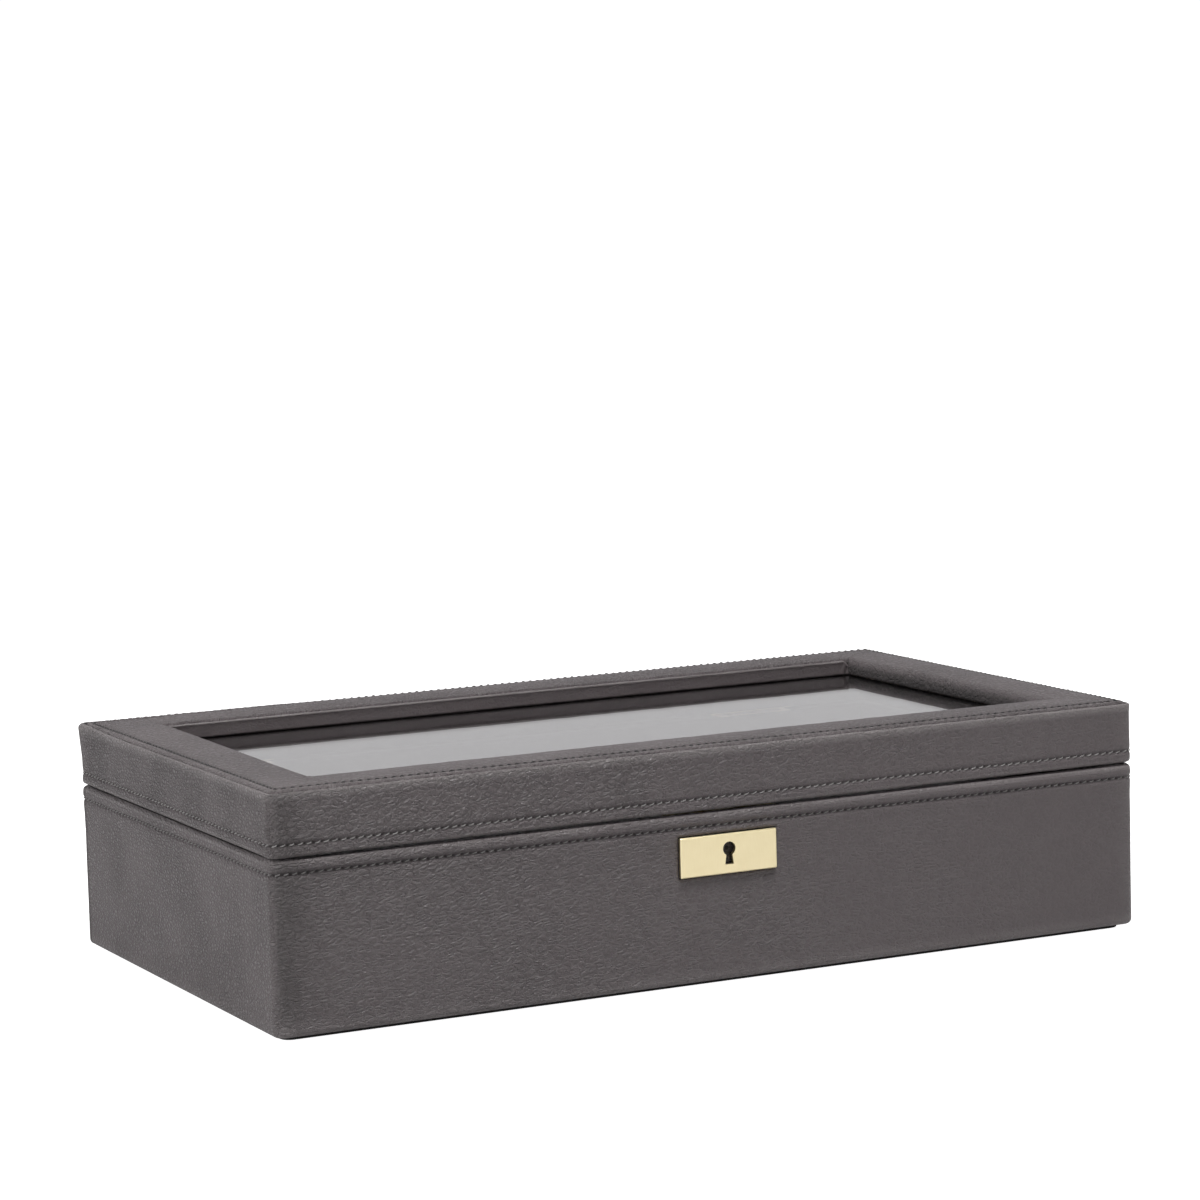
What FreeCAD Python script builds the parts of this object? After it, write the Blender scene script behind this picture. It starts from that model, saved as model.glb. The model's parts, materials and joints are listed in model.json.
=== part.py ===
import FreeCAD, Part
import math
import os

from FreeCAD import Vector as V

os.makedirs("parts", exist_ok=True)

# Leather-covered watch box with a hinged glass lid. Millimetres.
# +X to the right, the front faces -Y, +Z up; the origin is the centre of the
# underside of the base board.

# ------------------------------------------------------------ driving sizes
W = 340.0            # overall width of the leather body
D = 190.0            # overall depth of the leather body
H = 85.0             # overall height
CORNER_R = 5.0       # vertical corner radius of the leather
LEATHER = 1.2        # leather thickness
BOARD = 8.0          # wall board thickness

BASE_T = 2.0         # base board below the leather
BASE_INSET = 4.0     # base board set in from the leather
BOTTOM_T = 3.0       # bottom board

SPLIT_Z = 61.5       # middle of the gap between body and lid
GAP = 1.2            # height of that gap
EDGE_R = 1.5         # soft rolled edges beside the gap
FOOT_R = 2.0         # rolled edge at the bottom of the body

LINING = 1.0         # velour on card
FLOOR_T = 1.0

RIM = 25.0           # width of the lid frame round the window
LEDGE_Z = 83.3       # top of the folded edges beside the padded frame
GLASS_T = 3.0
GLASS_TOP = 78.0
RETAINER_T = 4.0
RETAINER_LAP = 4.0   # how far the retainer shows inside the window opening
RAIL_TOP = 82.2
PAD_TOP = 83.8
WINDOW_LEATHER = 1.4

DIVIDER_T = 4.0
DIVIDER_TOP = 50.0
CELLS_X = 5
CUSHION = (54.0, 75.0, 42.0)
CUSHION_GAP = 0.3

PLATE_W, PLATE_H, PLATE_T = 38.0, 14.1, 1.4
PLATE_Z = 46.15      # middle of the lock plate
KEY_Z = 47.9         # centre of the keyhole's round part
KEY_R = 2.45
KEY_SLOT_Z = 42.4
KEY_SLOT_TOP_HALF = 1.1
KEY_SLOT_END_HALF = 1.7

HINGE_X = 112.0      # hinge centres, left and right of the middle
HINGE_W = 32.0
HINGE_OUT = 0.8      # axis behind the back face
BARREL_R = 2.2
PIN_R = 1.0
KNUCKLES = 5
KNUCKLE_GAP = 0.15
LEAF_T = 1.2

# ------------------------------------------------------------ derived sizes
X0, Y0 = W / 2, D / 2                       # leather, outside
XB, YB = X0 - LEATHER, Y0 - LEATHER         # boards, outside
XI, YI = XB - BOARD, YB - BOARD             # boards, inside
XL, YL = XI - LINING, YI - LINING           # lining, inside
R_IN = CORNER_R - LEATHER
CASE_TOP = SPLIT_Z - GAP / 2
LID_BOTTOM = SPLIT_Z + GAP / 2
BOARD_BOTTOM = BASE_T + LEATHER
BOARD_TOP = CASE_TOP - LEATHER
LID_BOARD_BOTTOM = LID_BOTTOM + LEATHER
FLOOR_Z = BOARD_BOTTOM + BOTTOM_T           # top of the bottom board
CELL_Z = FLOOR_Z + FLOOR_T                  # top of the floor lining
XW, YW = X0 - RIM, Y0 - RIM                 # window opening
XR, YR = XW + WINDOW_LEATHER, YW + WINDOW_LEATHER   # rails, window side
HINGE_Y = Y0 + HINGE_OUT


# ------------------------------------------------------------------ helpers
def box(x0, x1, y0, y1, z0, z1):
    return Part.makeBox(x1 - x0, y1 - y0, z1 - z0, V(x0, y0, z0))


def edges_along(shape, axis, test=None):
    found = []
    for e in shape.Edges:
        a, b = e.Vertexes[0].Point, e.Vertexes[-1].Point
        d = b - a
        if d.Length < 1e-6 or abs(abs(d[axis]) / d.Length - 1) > 1e-6:
            continue
        mid = (a + b) * 0.5
        if test is None or test(mid):
            found.append(e)
    return found


def block(hx, hy, z0, z1, r=0.0):
    """Centred block with rounded vertical corners."""
    s = box(-hx, hx, -hy, hy, z0, z1)
    if r > 0:
        s = s.makeFillet(r, edges_along(s, 2))
    return s


def rim_edges(shape, z, outer=None):
    """Edges that lie in the plane z; outer keeps those past a size in x or y."""
    found = []
    for e in shape.Edges:
        bb = e.BoundBox
        if abs(bb.ZMin - z) > 1e-4 or abs(bb.ZMax - z) > 1e-4:
            continue
        if outer is not None:
            far = max(abs(bb.XMin), abs(bb.XMax)) > outer[0] - 0.01 or \
                  max(abs(bb.YMin), abs(bb.YMax)) > outer[1] - 0.01
            if not far:
                continue
        found.append(e)
    return found


def cyl(r, length, pos, direction):
    return Part.makeCylinder(r, length, V(*pos), V(*direction))


def csk_screw(pos, direction, length, head_r=1.9, shank_r=1.0, head_h=1.0):
    """Countersunk slotted screw: head top at pos, shank along direction."""
    d = V(*direction)
    p = V(*pos)
    head = Part.makeCone(head_r, shank_r, head_h, p, d)
    shank = Part.makeCylinder(shank_r, length - head_h - 0.8, p + d * head_h, d)
    tip = Part.makeCone(shank_r, 0.2, 0.8, p + d * (length - 0.8), d)
    return head.fuse([shank, tip]).removeSplitter()


def screw_slot(pos, direction, along, head_r=1.9):
    """The slot cut across a screw's head."""
    d = V(*direction)
    a = V(*along)
    c = d.cross(a)
    p = V(*pos) - d * 0.1
    s = Part.makePolygon([p - a * (head_r + .2) - c * 0.22, p + a * (head_r + .2) - c * 0.22,
                          p + a * (head_r + .2) + c * 0.22, p - a * (head_r + .2) + c * 0.22,
                          p - a * (head_r + .2) - c * 0.22])
    return Part.Face(s).extrude(d * 0.5)


def keyhole(y0, y1, grow=0.0):
    """Keyhole prism from y0 to y1: a round with a slot that flares downwards."""
    c = cyl(KEY_R + grow, y1 - y0, (0, y0, KEY_Z), (0, 1, 0))
    a, b = KEY_SLOT_TOP_HALF + grow, KEY_SLOT_END_HALF + grow
    pts = [V(-a, y0, KEY_Z - 1.5), V(a, y0, KEY_Z - 1.5), V(b, y0, KEY_SLOT_Z - grow),
           V(-b, y0, KEY_SLOT_Z - grow), V(-a, y0, KEY_Z - 1.5)]
    slot = Part.Face(Part.makePolygon(pts)).extrude(V(0, y1 - y0, 0))
    return c.fuse(slot).removeSplitter()


nodes = {}


def add(name, shape):
    """Keep a node; a group is a compound of separate solids."""
    shape = shape.removeSplitter() if shape.ShapeType != "Compound" else shape
    solids = shape.Solids
    if len(solids) == 1:
        shape = solids[0]
    nodes[name] = shape


# ------------------------------------------------------- cutters shared below
hinge_room = []
for hx in (-HINGE_X, HINGE_X):
    hinge_room.append(box(hx - HINGE_W / 2 - 0.3, hx + HINGE_W / 2 + 0.3,
                          HINGE_Y - BARREL_R - 0.4, HINGE_Y + 6,
                          SPLIT_Z - BARREL_R - 0.4, SPLIT_Z + BARREL_R + 0.4))
LEAF_Y = YB - BOARD + 0.6                   # inner edge of the hinge leaves
case_leaf_room = [box(hx - HINGE_W / 2, hx + HINGE_W / 2, LEAF_Y, HINGE_Y,
                      CASE_TOP - LEAF_T, CASE_TOP + 0.1) for hx in (-HINGE_X, HINGE_X)]
lid_leaf_room = [box(hx - HINGE_W / 2, hx + HINGE_W / 2, LEAF_Y, HINGE_Y,
                     LID_BOTTOM - 0.1, LID_BOTTOM + LEAF_T) for hx in (-HINGE_X, HINGE_X)]

hinge_case_screw_at = [(hx + dx, LEAF_Y + 2.9, CASE_TOP) for hx in (-HINGE_X, HINGE_X)
                       for dx in (-11.0, 0.0, 11.0)]
hinge_lid_screw_at = [(x, y, LID_BOTTOM) for x, y, z in hinge_case_screw_at]
case_screws = [csk_screw(p, (0, 0, -1), 11.0) for p in hinge_case_screw_at]
lid_screws = [csk_screw(p, (0, 0, 1), 11.0) for p in hinge_lid_screw_at]

# Box lock in the front wall
LOCK_HX = 17.0
LOCK_Z0 = 36.0
LOCK_Y0, LOCK_Y1 = -YB + 1.4, -YI           # case front, board's inner face
COVER_T = 1.0
COVER_HX, COVER_Z0 = 21.5, 33.0
SELV_Y0, SELV_Y1 = -YB + 0.6, -YI - 0.2
TAB_X, TAB_T = 8.0, 2.0                     # the strike's two eyes
TAB_Y0, TAB_Y1 = -91.0, -87.2
TAB_Z = 54.0
EYE = (-90.2, -88.0, 55.4, 58.4)
BOLT_Y0, BOLT_Y1 = -89.9, -88.3
BOLT_TRAVEL = 3.5

cover_screw_at = [(sx * 19.2, LOCK_Y1, z) for sx in (-1, 1) for z in (37.0, 55.5)]
cover_screws = [csk_screw(p, (0, -1, 0), 6.0, 1.6, 0.8, 0.9) for p in cover_screw_at]
selv_screw_at = [(sx * 19.2, (SELV_Y0 + SELV_Y1) / 2, CASE_TOP) for sx in (-1, 1)]
selv_screws = [csk_screw(p, (0, 0, -1), 3.4, 1.6, 0.8, 0.9) for p in selv_screw_at]
strike_screw_at = [(sx * 19.2, (SELV_Y0 + SELV_Y1) / 2, LID_BOTTOM) for sx in (-1, 1)]
strike_screws = [csk_screw(p, (0, 0, 1), 9.0, 1.6, 0.8, 0.9) for p in strike_screw_at]
plate_spigots = [cyl(0.9, 2.6, (sx * 15.5, -Y0 - 0.2, PLATE_Z), (0, 1, 0)) for sx in (-1, 1)]

# --------------------------------------------------------------- the base
base = block(X0 - BASE_INSET, Y0 - BASE_INSET, 0, BASE_T, 4.0)
base = base.makeFillet(0.4, rim_edges(base, 0.0))
base = base.fuse(block(X0 - 14, Y0 - 14, BASE_T, BOARD_BOTTOM, 3.0))
add("base_panel", base)
add("bottom_board", box(-XI, XI, -YI, YI, BOARD_BOTTOM, FLOOR_Z))

# ------------------------------------------------------ leather of the body
wrap = block(X0, Y0, BASE_T, CASE_TOP, CORNER_R)
wrap = wrap.makeFillet(EDGE_R, rim_edges(wrap, CASE_TOP))
wrap = wrap.makeFillet(FOOT_R, rim_edges(wrap, BASE_T))
wrap = wrap.cut(block(XB, YB, BOARD_BOTTOM, BOARD_TOP, R_IN))
wrap = wrap.cut(box(-XI, XI, -YI, YI, BOARD_TOP - 1, CASE_TOP + 1))
wrap = wrap.cut(block(X0 - 14, Y0 - 14, BASE_T - 1, BOARD_BOTTOM + 1, 3.0))
wrap = wrap.cut(hinge_room + case_leaf_room)
wrap = wrap.cut([box(-COVER_HX, COVER_HX, SELV_Y0, -YI + 1, BOARD_TOP, CASE_TOP + 1),
                 keyhole(-Y0 - 1, -YB + 1, 0.3)] + plate_spigots)
add("case_leather", wrap)

# --------------------------------------------------------- boards of the body
front = box(-XB, XB, -YB, -YI, BOARD_BOTTOM, BOARD_TOP)
front = front.makeFillet(R_IN, edges_along(front, 2, lambda m: m.y < -YI - 1))
front = front.cut([box(-LOCK_HX - 0.2, LOCK_HX + 0.2, LOCK_Y0 - 0.1, -YI + 1, LOCK_Z0 - 0.2, BOARD_TOP + 1),
                   box(-COVER_HX, COVER_HX, -YI - COVER_T, -YI + 1, COVER_Z0, BOARD_TOP + 1),
                   keyhole(-YB - 1, -YI, 0.3)]
                  + plate_spigots + cover_screws + selv_screws)
add("front_board", front)
back = box(-XB, XB, YI, YB, BOARD_BOTTOM, BOARD_TOP)
back = back.makeFillet(R_IN, edges_along(back, 2, lambda m: m.y > YI + 1))
back = back.cut(hinge_room + case_screws)
add("back_board", back)
add("left_board", box(-XB, -XI, -YI, YI, BOARD_BOTTOM, BOARD_TOP))
add("right_board", box(XI, XB, -YI, YI, BOARD_BOTTOM, BOARD_TOP))

# ---------------------------------------------------------------- the lining
add("floor_lining", box(-XI, XI, -YI, YI, FLOOR_Z, CELL_Z))
lin = box(-XI, XI, -YI, YI, CELL_Z, CASE_TOP - 0.6)
lin = lin.cut([box(-XL, XL, -YL, YL, CELL_Z - 1, CASE_TOP + 1),
               box(-COVER_HX - 0.2, COVER_HX + 0.2, -YI - 1, -YL + 1, COVER_Z0 - 0.2, CASE_TOP + 1)])
add("wall_lining", lin)

# -------------------------------------------------- dividers, half-lap joints
cell_x = (2 * XL - (CELLS_X - 1) * DIVIDER_T) / CELLS_X
cell_y = (2 * YL - DIVIDER_T) / 2
cross_x = [-XL + cell_x + DIVIDER_T / 2 + i * (cell_x + DIVIDER_T) for i in range(CELLS_X - 1)]
mid_z = (CELL_Z + DIVIDER_TOP) / 2


def soft_top(s):
    return s.makeFillet(1.2, [e for e in s.Edges
                              if abs(e.BoundBox.ZMin - DIVIDER_TOP) < 1e-4
                              and abs(e.BoundBox.ZMax - DIVIDER_TOP) < 1e-4
                              and max(e.BoundBox.XLength, e.BoundBox.YLength) > 10])


long_div = soft_top(box(-XL, XL, -DIVIDER_T / 2, DIVIDER_T / 2, CELL_Z, DIVIDER_TOP))
long_div = long_div.cut([box(x - DIVIDER_T / 2, x + DIVIDER_T / 2, -5, 5, mid_z, DIVIDER_TOP + 1)
                         for x in cross_x])
add("long_divider", long_div)
for i, x in enumerate(cross_x):
    c = soft_top(box(x - DIVIDER_T / 2, x + DIVIDER_T / 2, -YL, YL, CELL_Z, DIVIDER_TOP))
    c = c.cut(box(x - 5, x + 5, -DIVIDER_T / 2, DIVIDER_T / 2, CELL_Z - 1, mid_z))
    add("cross_divider_%d" % (i + 1), c)

# ------------------------------------------------------------ watch cushions
cx, cy, cz = CUSHION
one = box(-cx / 2, cx / 2, -cy / 2, cy / 2, 0, cz)
one = one.makeFillet(17.0, edges_along(one, 0))
one = one.makeFillet(7.0, [e for e in one.Edges
                           if abs(abs(e.BoundBox.XMin) - cx / 2) < 1e-4
                           and abs(abs(e.BoundBox.XMax) - cx / 2) < 1e-4])
for row, sy in (("front", -1), ("rear", 1)):
    for i in range(CELLS_X):
        x = -XL + cell_x / 2 + i * (cell_x + DIVIDER_T)
        y = sy * (DIVIDER_T / 2 + cell_y / 2)
        s = one.copy()
        s.translate(V(x, y, CELL_Z + CUSHION_GAP))
        add("watch_cushion_%s_%d" % (row, i + 1), s)

# ------------------------------------------------------------------ the lock
plate = box(-PLATE_W / 2, PLATE_W / 2, -Y0 - PLATE_T, -Y0, PLATE_Z - PLATE_H / 2, PLATE_Z + PLATE_H / 2)
plate = plate.makeFillet(0.5, edges_along(plate, 1))
plate = plate.makeChamfer(0.35, [e for e in plate.Edges
                                 if abs(e.BoundBox.YMin + Y0 + PLATE_T) < 1e-4
                                 and abs(e.BoundBox.YMax + Y0 + PLATE_T) < 1e-4])
plate = plate.fuse([s.common(box(-50, 50, -Y0, 0, 0, 100)) for s in plate_spigots])
plate = plate.cut(keyhole(-Y0 - 5, -Y0 + 1))
add("lock_plate", plate)

tray = box(-LOCK_HX, LOCK_HX, LOCK_Y0, -YI - COVER_T, LOCK_Z0, BOARD_TOP)
tray = tray.cut([box(-LOCK_HX + 1, LOCK_HX - 1, LOCK_Y0 + 1, 0, LOCK_Z0 + 1, BOARD_TOP + 1),
                 keyhole(LOCK_Y0 - 1, LOCK_Y0 + 2, 0.15)])
add("lock_case", tray)

cover = box(-COVER_HX, COVER_HX, -YI - COVER_T, -YI, COVER_Z0, BOARD_TOP)
cover = cover.makeFillet(2.0, edges_along(cover, 1, lambda m: m.z < COVER_Z0 + 1))
cover = cover.cut(cover_screws)
cover = cover.cut(cyl(0.75, 6, (0, -YI - 4, KEY_Z), (0, 1, 0)))
add("lock_cover", cover)
add("key_pin", cyl(0.75, 8.6, (0, -YI - 8.6, KEY_Z), (0, 1, 0)))

selv = box(-COVER_HX, COVER_HX, SELV_Y0, -YI, BOARD_TOP, CASE_TOP)
selv = selv.cut([box(sx * TAB_X - 1.6, sx * TAB_X + 1.6, TAB_Y0 - 0.5, TAB_Y1 + 0.5, 0, 99) for sx in (-1, 1)]
                + selv_screws)
add("lock_selvedge", selv)

bar_z0, bar_z1 = 51.0, 53.6
bolt = box(-15.0, 10.0, BOLT_Y0, BOLT_Y1, bar_z0, bar_z1)
for sx in (-1, 1):
    tip = sx * TAB_X - TAB_T / 2 - 0.4
    root = tip - BOLT_TRAVEL
    bolt = bolt.fuse([box(root - 2.1, root, BOLT_Y0, BOLT_Y1, bar_z1 - 1, 58.1),
                      box(root - 0.5, tip, BOLT_Y0, BOLT_Y1, 55.9, 58.1)])
bolt = bolt.cut(box(-1.6, 1.6, -95, -85, 50, 52.2))
add("lock_bolt", bolt)

spring = box(-15.9, -3.5, BOLT_Y0, BOLT_Y1, 50.2, 50.7)
spring = spring.fuse(box(-15.9, -14.6, BOLT_Y0, BOLT_Y1, 48.6, 50.7))
add("lock_spring", spring)

slots = [screw_slot(p, (0, -1, 0), (math.cos(a), 0, math.sin(a)), 1.6)
         for p, a in zip(cover_screw_at, (0.3, 1.2, 2.0, 0.8))]
slots += [screw_slot(p, (0, 0, -1), (math.cos(a), math.sin(a), 0), 1.6)
          for p, a in zip(selv_screw_at, (0.5, 2.2))]
add("lock_screws", Part.makeCompound([s.cut(k) for s, k in zip(cover_screws + selv_screws, slots)]))

# ------------------------------------------------------------------ the lid
skirt = block(X0, Y0, LID_BOTTOM, LEDGE_Z, CORNER_R)
skirt = skirt.makeFillet(EDGE_R, rim_edges(skirt, LID_BOTTOM))
skirt = skirt.makeFillet(0.4, rim_edges(skirt, LEDGE_Z))
skirt = skirt.cut([block(XB, YB, LID_BOARD_BOTTOM, H, R_IN),
                   box(-XI, XI, -YI, YI, LID_BOTTOM - 1, H)])
skirt = skirt.cut(hinge_room + lid_leaf_room)
skirt = skirt.cut(box(-COVER_HX, COVER_HX, SELV_Y0, -YI + 1, LID_BOTTOM - 1, LID_BOARD_BOTTOM))
add("lid_side_leather", skirt)

LID_WALL_TOP = GLASS_TOP
f = box(-XB, XB, -YB, -YI, LID_BOARD_BOTTOM, LID_WALL_TOP)
f = f.makeFillet(R_IN, edges_along(f, 2, lambda m: m.y < -YI - 1)).cut(strike_screws)
add("lid_front_board", f)
b = box(-XB, XB, YI, YB, LID_BOARD_BOTTOM, LID_WALL_TOP)
b = b.makeFillet(R_IN, edges_along(b, 2, lambda m: m.y > YI + 1)).cut(hinge_room + lid_screws)
add("lid_back_board", b)
add("lid_left_board", box(-XB, -XI, -YI, YI, LID_BOARD_BOTTOM, LID_WALL_TOP))
add("lid_right_board", box(XI, XB, -YI, YI, LID_BOARD_BOTTOM, LID_WALL_TOP))

# Four mitred rails over the glass
rounded = block(XB, YB, GLASS_TOP, RAIL_TOP, R_IN)


def rail(points):
    face = Part.Face(Part.makePolygon([V(x, y, GLASS_TOP) for x, y in points + points[:1]]))
    return face.extrude(V(0, 0, RAIL_TOP - GLASS_TOP)).common(rounded)


add("frame_rail_front", rail([(-XB, -YB), (XB, -YB), (XR, -YR), (-XR, -YR)]))
add("frame_rail_back", rail([(-XB, YB), (-XR, YR), (XR, YR), (XB, YB)]))
add("frame_rail_left", rail([(-XB, -YB), (-XR, -YR), (-XR, YR), (-XB, YB)]))
add("frame_rail_right", rail([(XB, -YB), (XB, YB), (XR, YR), (XR, -YR)]))

PAD_IN = 1.1
pad_o = block(XB - PAD_IN, YB - PAD_IN, RAIL_TOP, PAD_TOP, R_IN - PAD_IN)
pad_i = block(XR + PAD_IN, YR + PAD_IN, RAIL_TOP - 1, PAD_TOP + 1, 1.5)
pad = pad_o.cut(pad_i)
add("frame_padding", pad)

top = block(XB, YB, RAIL_TOP, H, R_IN).cut(block(XR, YR, RAIL_TOP - 1, H + 1, 1.0))
top = top.makeFillet(1.0, rim_edges(top, H))
top = top.cut(pad)
add("frame_leather", top)

wl = block(XR, YR, GLASS_TOP, LEDGE_Z, 1.0).cut(block(XW, YW, GLASS_TOP - 1, LEDGE_Z + 1, 0.6))
wl = wl.makeFillet(0.4, rim_edges(wl, LEDGE_Z))
add("window_leather", wl)

add("glass_pane", block(XI - 0.4, YI - 0.4, GLASS_TOP - GLASS_T, GLASS_TOP))
ret = block(XI - 0.4, YI - 0.4, GLASS_TOP - GLASS_T - RETAINER_T, GLASS_TOP - GLASS_T)
ret = ret.cut(block(XW - RETAINER_LAP, YW - RETAINER_LAP, 60, 80))
ret = ret.makeFillet(0.8, [e for e in ret.Edges
                           if abs(e.BoundBox.ZMax - (GLASS_TOP - GLASS_T - RETAINER_T)) < 1e-4
                           and max(abs(e.BoundBox.XMin), abs(e.BoundBox.XMax)) < XI - 1
                           and max(abs(e.BoundBox.YMin), abs(e.BoundBox.YMax)) < YI - 1])
add("glass_retainer", ret)
ll = block(XI, YI, LID_BOTTOM + 0.6, GLASS_TOP - GLASS_T - RETAINER_T).cut(block(XL, YL, 60, 80))
add("lid_lining", ll)

strike = box(-COVER_HX, COVER_HX, SELV_Y0, -YI, LID_BOTTOM, LID_BOARD_BOTTOM)
for sx in (-1, 1):
    tab = box(sx * TAB_X - TAB_T / 2, sx * TAB_X + TAB_T / 2, TAB_Y0, TAB_Y1, TAB_Z, LID_BOTTOM + 0.5)
    tab = tab.makeFillet(1.2, edges_along(tab, 0, lambda m: m.z < TAB_Z + 0.1))
    tab = tab.cut(box(-20, 20, EYE[0], EYE[1], EYE[2], EYE[3]))
    strike = strike.fuse(tab)
strike = strike.cut(strike_screws)
add("strike_plate", strike)
slots = [screw_slot(p, (0, 0, 1), (math.cos(a), math.sin(a), 0), 1.6)
         for p, a in zip(strike_screw_at, (0.9, 1.9))]
add("strike_screws", Part.makeCompound([s.cut(k) for s, k in zip(strike_screws, slots)]))

# ----------------------------------------------------------------- the hinges
kw = HINGE_W / KNUCKLES
for side, hx in (("left", -HINGE_X), ("right", HINGE_X)):
    x_start = hx - HINGE_W / 2
    c_leaf = box(x_start, hx + HINGE_W / 2, LEAF_Y, HINGE_Y - BARREL_R - 0.4, CASE_TOP - LEAF_T, CASE_TOP)
    l_leaf = box(x_start, hx + HINGE_W / 2, LEAF_Y, HINGE_Y - BARREL_R - 0.4, LID_BOTTOM, LID_BOTTOM + LEAF_T)
    c_cut, l_cut = [], []
    for k in range(KNUCKLES):
        a = x_start + k * kw + (KNUCKLE_GAP / 2 if k else 0)
        b2 = x_start + (k + 1) * kw - (KNUCKLE_GAP / 2 if k < KNUCKLES - 1 else 0)
        barrel = cyl(BARREL_R, b2 - a, (a, HINGE_Y, SPLIT_Z), (1, 0, 0))
        if k % 2 == 0:
            arm = box(a, b2, HINGE_Y - BARREL_R - 0.5, HINGE_Y - 0.6, CASE_TOP - LEAF_T, CASE_TOP)
            c_leaf = c_leaf.fuse([barrel, arm])
        else:
            arm = box(a, b2, HINGE_Y - BARREL_R - 0.5, HINGE_Y - 0.6, LID_BOTTOM, LID_BOTTOM + LEAF_T)
            l_leaf = l_leaf.fuse([barrel, arm])
    bore_c = cyl(PIN_R, HINGE_W + 2, (x_start - 1, HINGE_Y, SPLIT_Z), (1, 0, 0))
    bore_l = cyl(PIN_R + 0.06, HINGE_W + 2, (x_start - 1, HINGE_Y, SPLIT_Z), (1, 0, 0))
    c_leaf = c_leaf.cut([bore_c] + case_screws)
    l_leaf = l_leaf.cut([bore_l] + lid_screws)
    add("%s_hinge_case_leaf" % side, c_leaf)
    add("%s_hinge_lid_leaf" % side, l_leaf)
    add("%s_hinge_pin" % side, cyl(PIN_R, HINGE_W, (x_start, HINGE_Y, SPLIT_Z), (1, 0, 0)))

angles = (0.4, 1.7, 2.6, 0.9, 2.1, 1.3)
slots = [screw_slot(p, (0, 0, -1), (math.cos(a), math.sin(a), 0)) for p, a in zip(hinge_case_screw_at, angles)]
add("hinge_case_screws", Part.makeCompound([s.cut(k) for s, k in zip(case_screws, slots)]))
slots = [screw_slot(p, (0, 0, 1), (math.cos(a), math.sin(a), 0)) for p, a in zip(hinge_lid_screw_at, reversed(angles))]
add("hinge_lid_screws", Part.makeCompound([s.cut(k) for s, k in zip(lid_screws, slots)]))

# ------------------------------------------------------------------- output
for name, shape in nodes.items():
    assert shape.isValid(), name
    for s in shape.Solids:
        assert s.isClosed() and s.Volume > 0, name
    shape.exportStep("parts/%s.step" % name)
print(len(nodes), "nodes")
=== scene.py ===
import json
import math

import bmesh
import bpy
import numpy as np
from mathutils import Matrix, Vector


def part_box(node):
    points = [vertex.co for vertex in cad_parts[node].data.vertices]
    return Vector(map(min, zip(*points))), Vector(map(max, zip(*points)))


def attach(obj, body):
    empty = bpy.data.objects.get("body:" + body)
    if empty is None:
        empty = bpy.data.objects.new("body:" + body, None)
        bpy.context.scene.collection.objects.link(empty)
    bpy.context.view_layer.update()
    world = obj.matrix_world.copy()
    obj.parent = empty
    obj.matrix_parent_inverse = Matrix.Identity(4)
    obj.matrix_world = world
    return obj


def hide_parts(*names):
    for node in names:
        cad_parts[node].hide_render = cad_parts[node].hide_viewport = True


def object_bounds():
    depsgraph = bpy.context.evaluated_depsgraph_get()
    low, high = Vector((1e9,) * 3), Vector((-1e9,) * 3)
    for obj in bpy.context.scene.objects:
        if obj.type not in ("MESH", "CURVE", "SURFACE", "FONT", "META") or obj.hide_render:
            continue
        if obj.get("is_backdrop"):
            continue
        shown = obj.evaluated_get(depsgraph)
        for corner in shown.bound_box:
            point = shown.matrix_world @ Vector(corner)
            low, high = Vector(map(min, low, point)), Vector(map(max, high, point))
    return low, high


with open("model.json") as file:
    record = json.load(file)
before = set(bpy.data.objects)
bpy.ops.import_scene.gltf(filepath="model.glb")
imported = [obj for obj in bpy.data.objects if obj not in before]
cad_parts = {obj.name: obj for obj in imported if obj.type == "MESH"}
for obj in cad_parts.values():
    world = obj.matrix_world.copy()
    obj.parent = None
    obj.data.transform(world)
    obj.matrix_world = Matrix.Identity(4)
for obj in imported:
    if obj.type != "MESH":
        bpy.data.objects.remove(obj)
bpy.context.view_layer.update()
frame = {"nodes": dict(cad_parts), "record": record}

NODES = frame["nodes"]
scene = bpy.context.scene
MM = 0.001

# ------------------------------------------------------------------ sizes, mm
HX, HY, R = 170.0, 95.0, 4.0          # leather outside, half sizes and corner
BASE_Z = 2.0
CASE_TOP, LID_BOTTOM = 60.9, 62.1
CASE_ROW, LID_ROW = 56.45, 66.15      # stitch rows on the upright faces
TOP_ROW = -4.05                       # stitch row on the lid's top, in from the face
LEDGE = 83.35
PITCH = 3.1

# ------------------------------------------------------------- small helpers


def hash3(ix, iy, iz, seed):
    n = (ix.astype(np.int64) * 374761393 + iy.astype(np.int64) * 668265263
         + iz.astype(np.int64) * 1440662683 + seed * 974634777) & 0xFFFFFFFF
    n = ((n ^ (n >> 13)) * 1274126177) & 0xFFFFFFFF
    n = ((n ^ (n >> 15)) * 2246822519) & 0xFFFFFFFF
    return ((n ^ (n >> 16)) & 0xFFFFFF) / float(0xFFFFFF) * 2 - 1


def vnoise(x, y, z, seed=0):
    """Smooth value noise from -1 to 1 on arrays."""
    x, y, z = np.broadcast_arrays(np.asarray(x, float), np.asarray(y, float), np.asarray(z, float))
    ix, iy, iz = np.floor(x), np.floor(y), np.floor(z)
    fx, fy, fz = x - ix, y - iy, z - iz
    fx, fy, fz = (f * f * (3 - 2 * f) for f in (fx, fy, fz))
    out = 0
    for a in (0, 1):
        for b in (0, 1):
            for c in (0, 1):
                w = (fx if a else 1 - fx) * (fy if b else 1 - fy) * (fz if c else 1 - fz)
                out = out + w * hash3(ix + a, iy + b, iz + c, seed)
    return out


def sstep(a, b, x):
    t = np.clip((x - a) / (b - a), 0, 1)
    return t * t * (3 - 2 * t)


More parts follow.
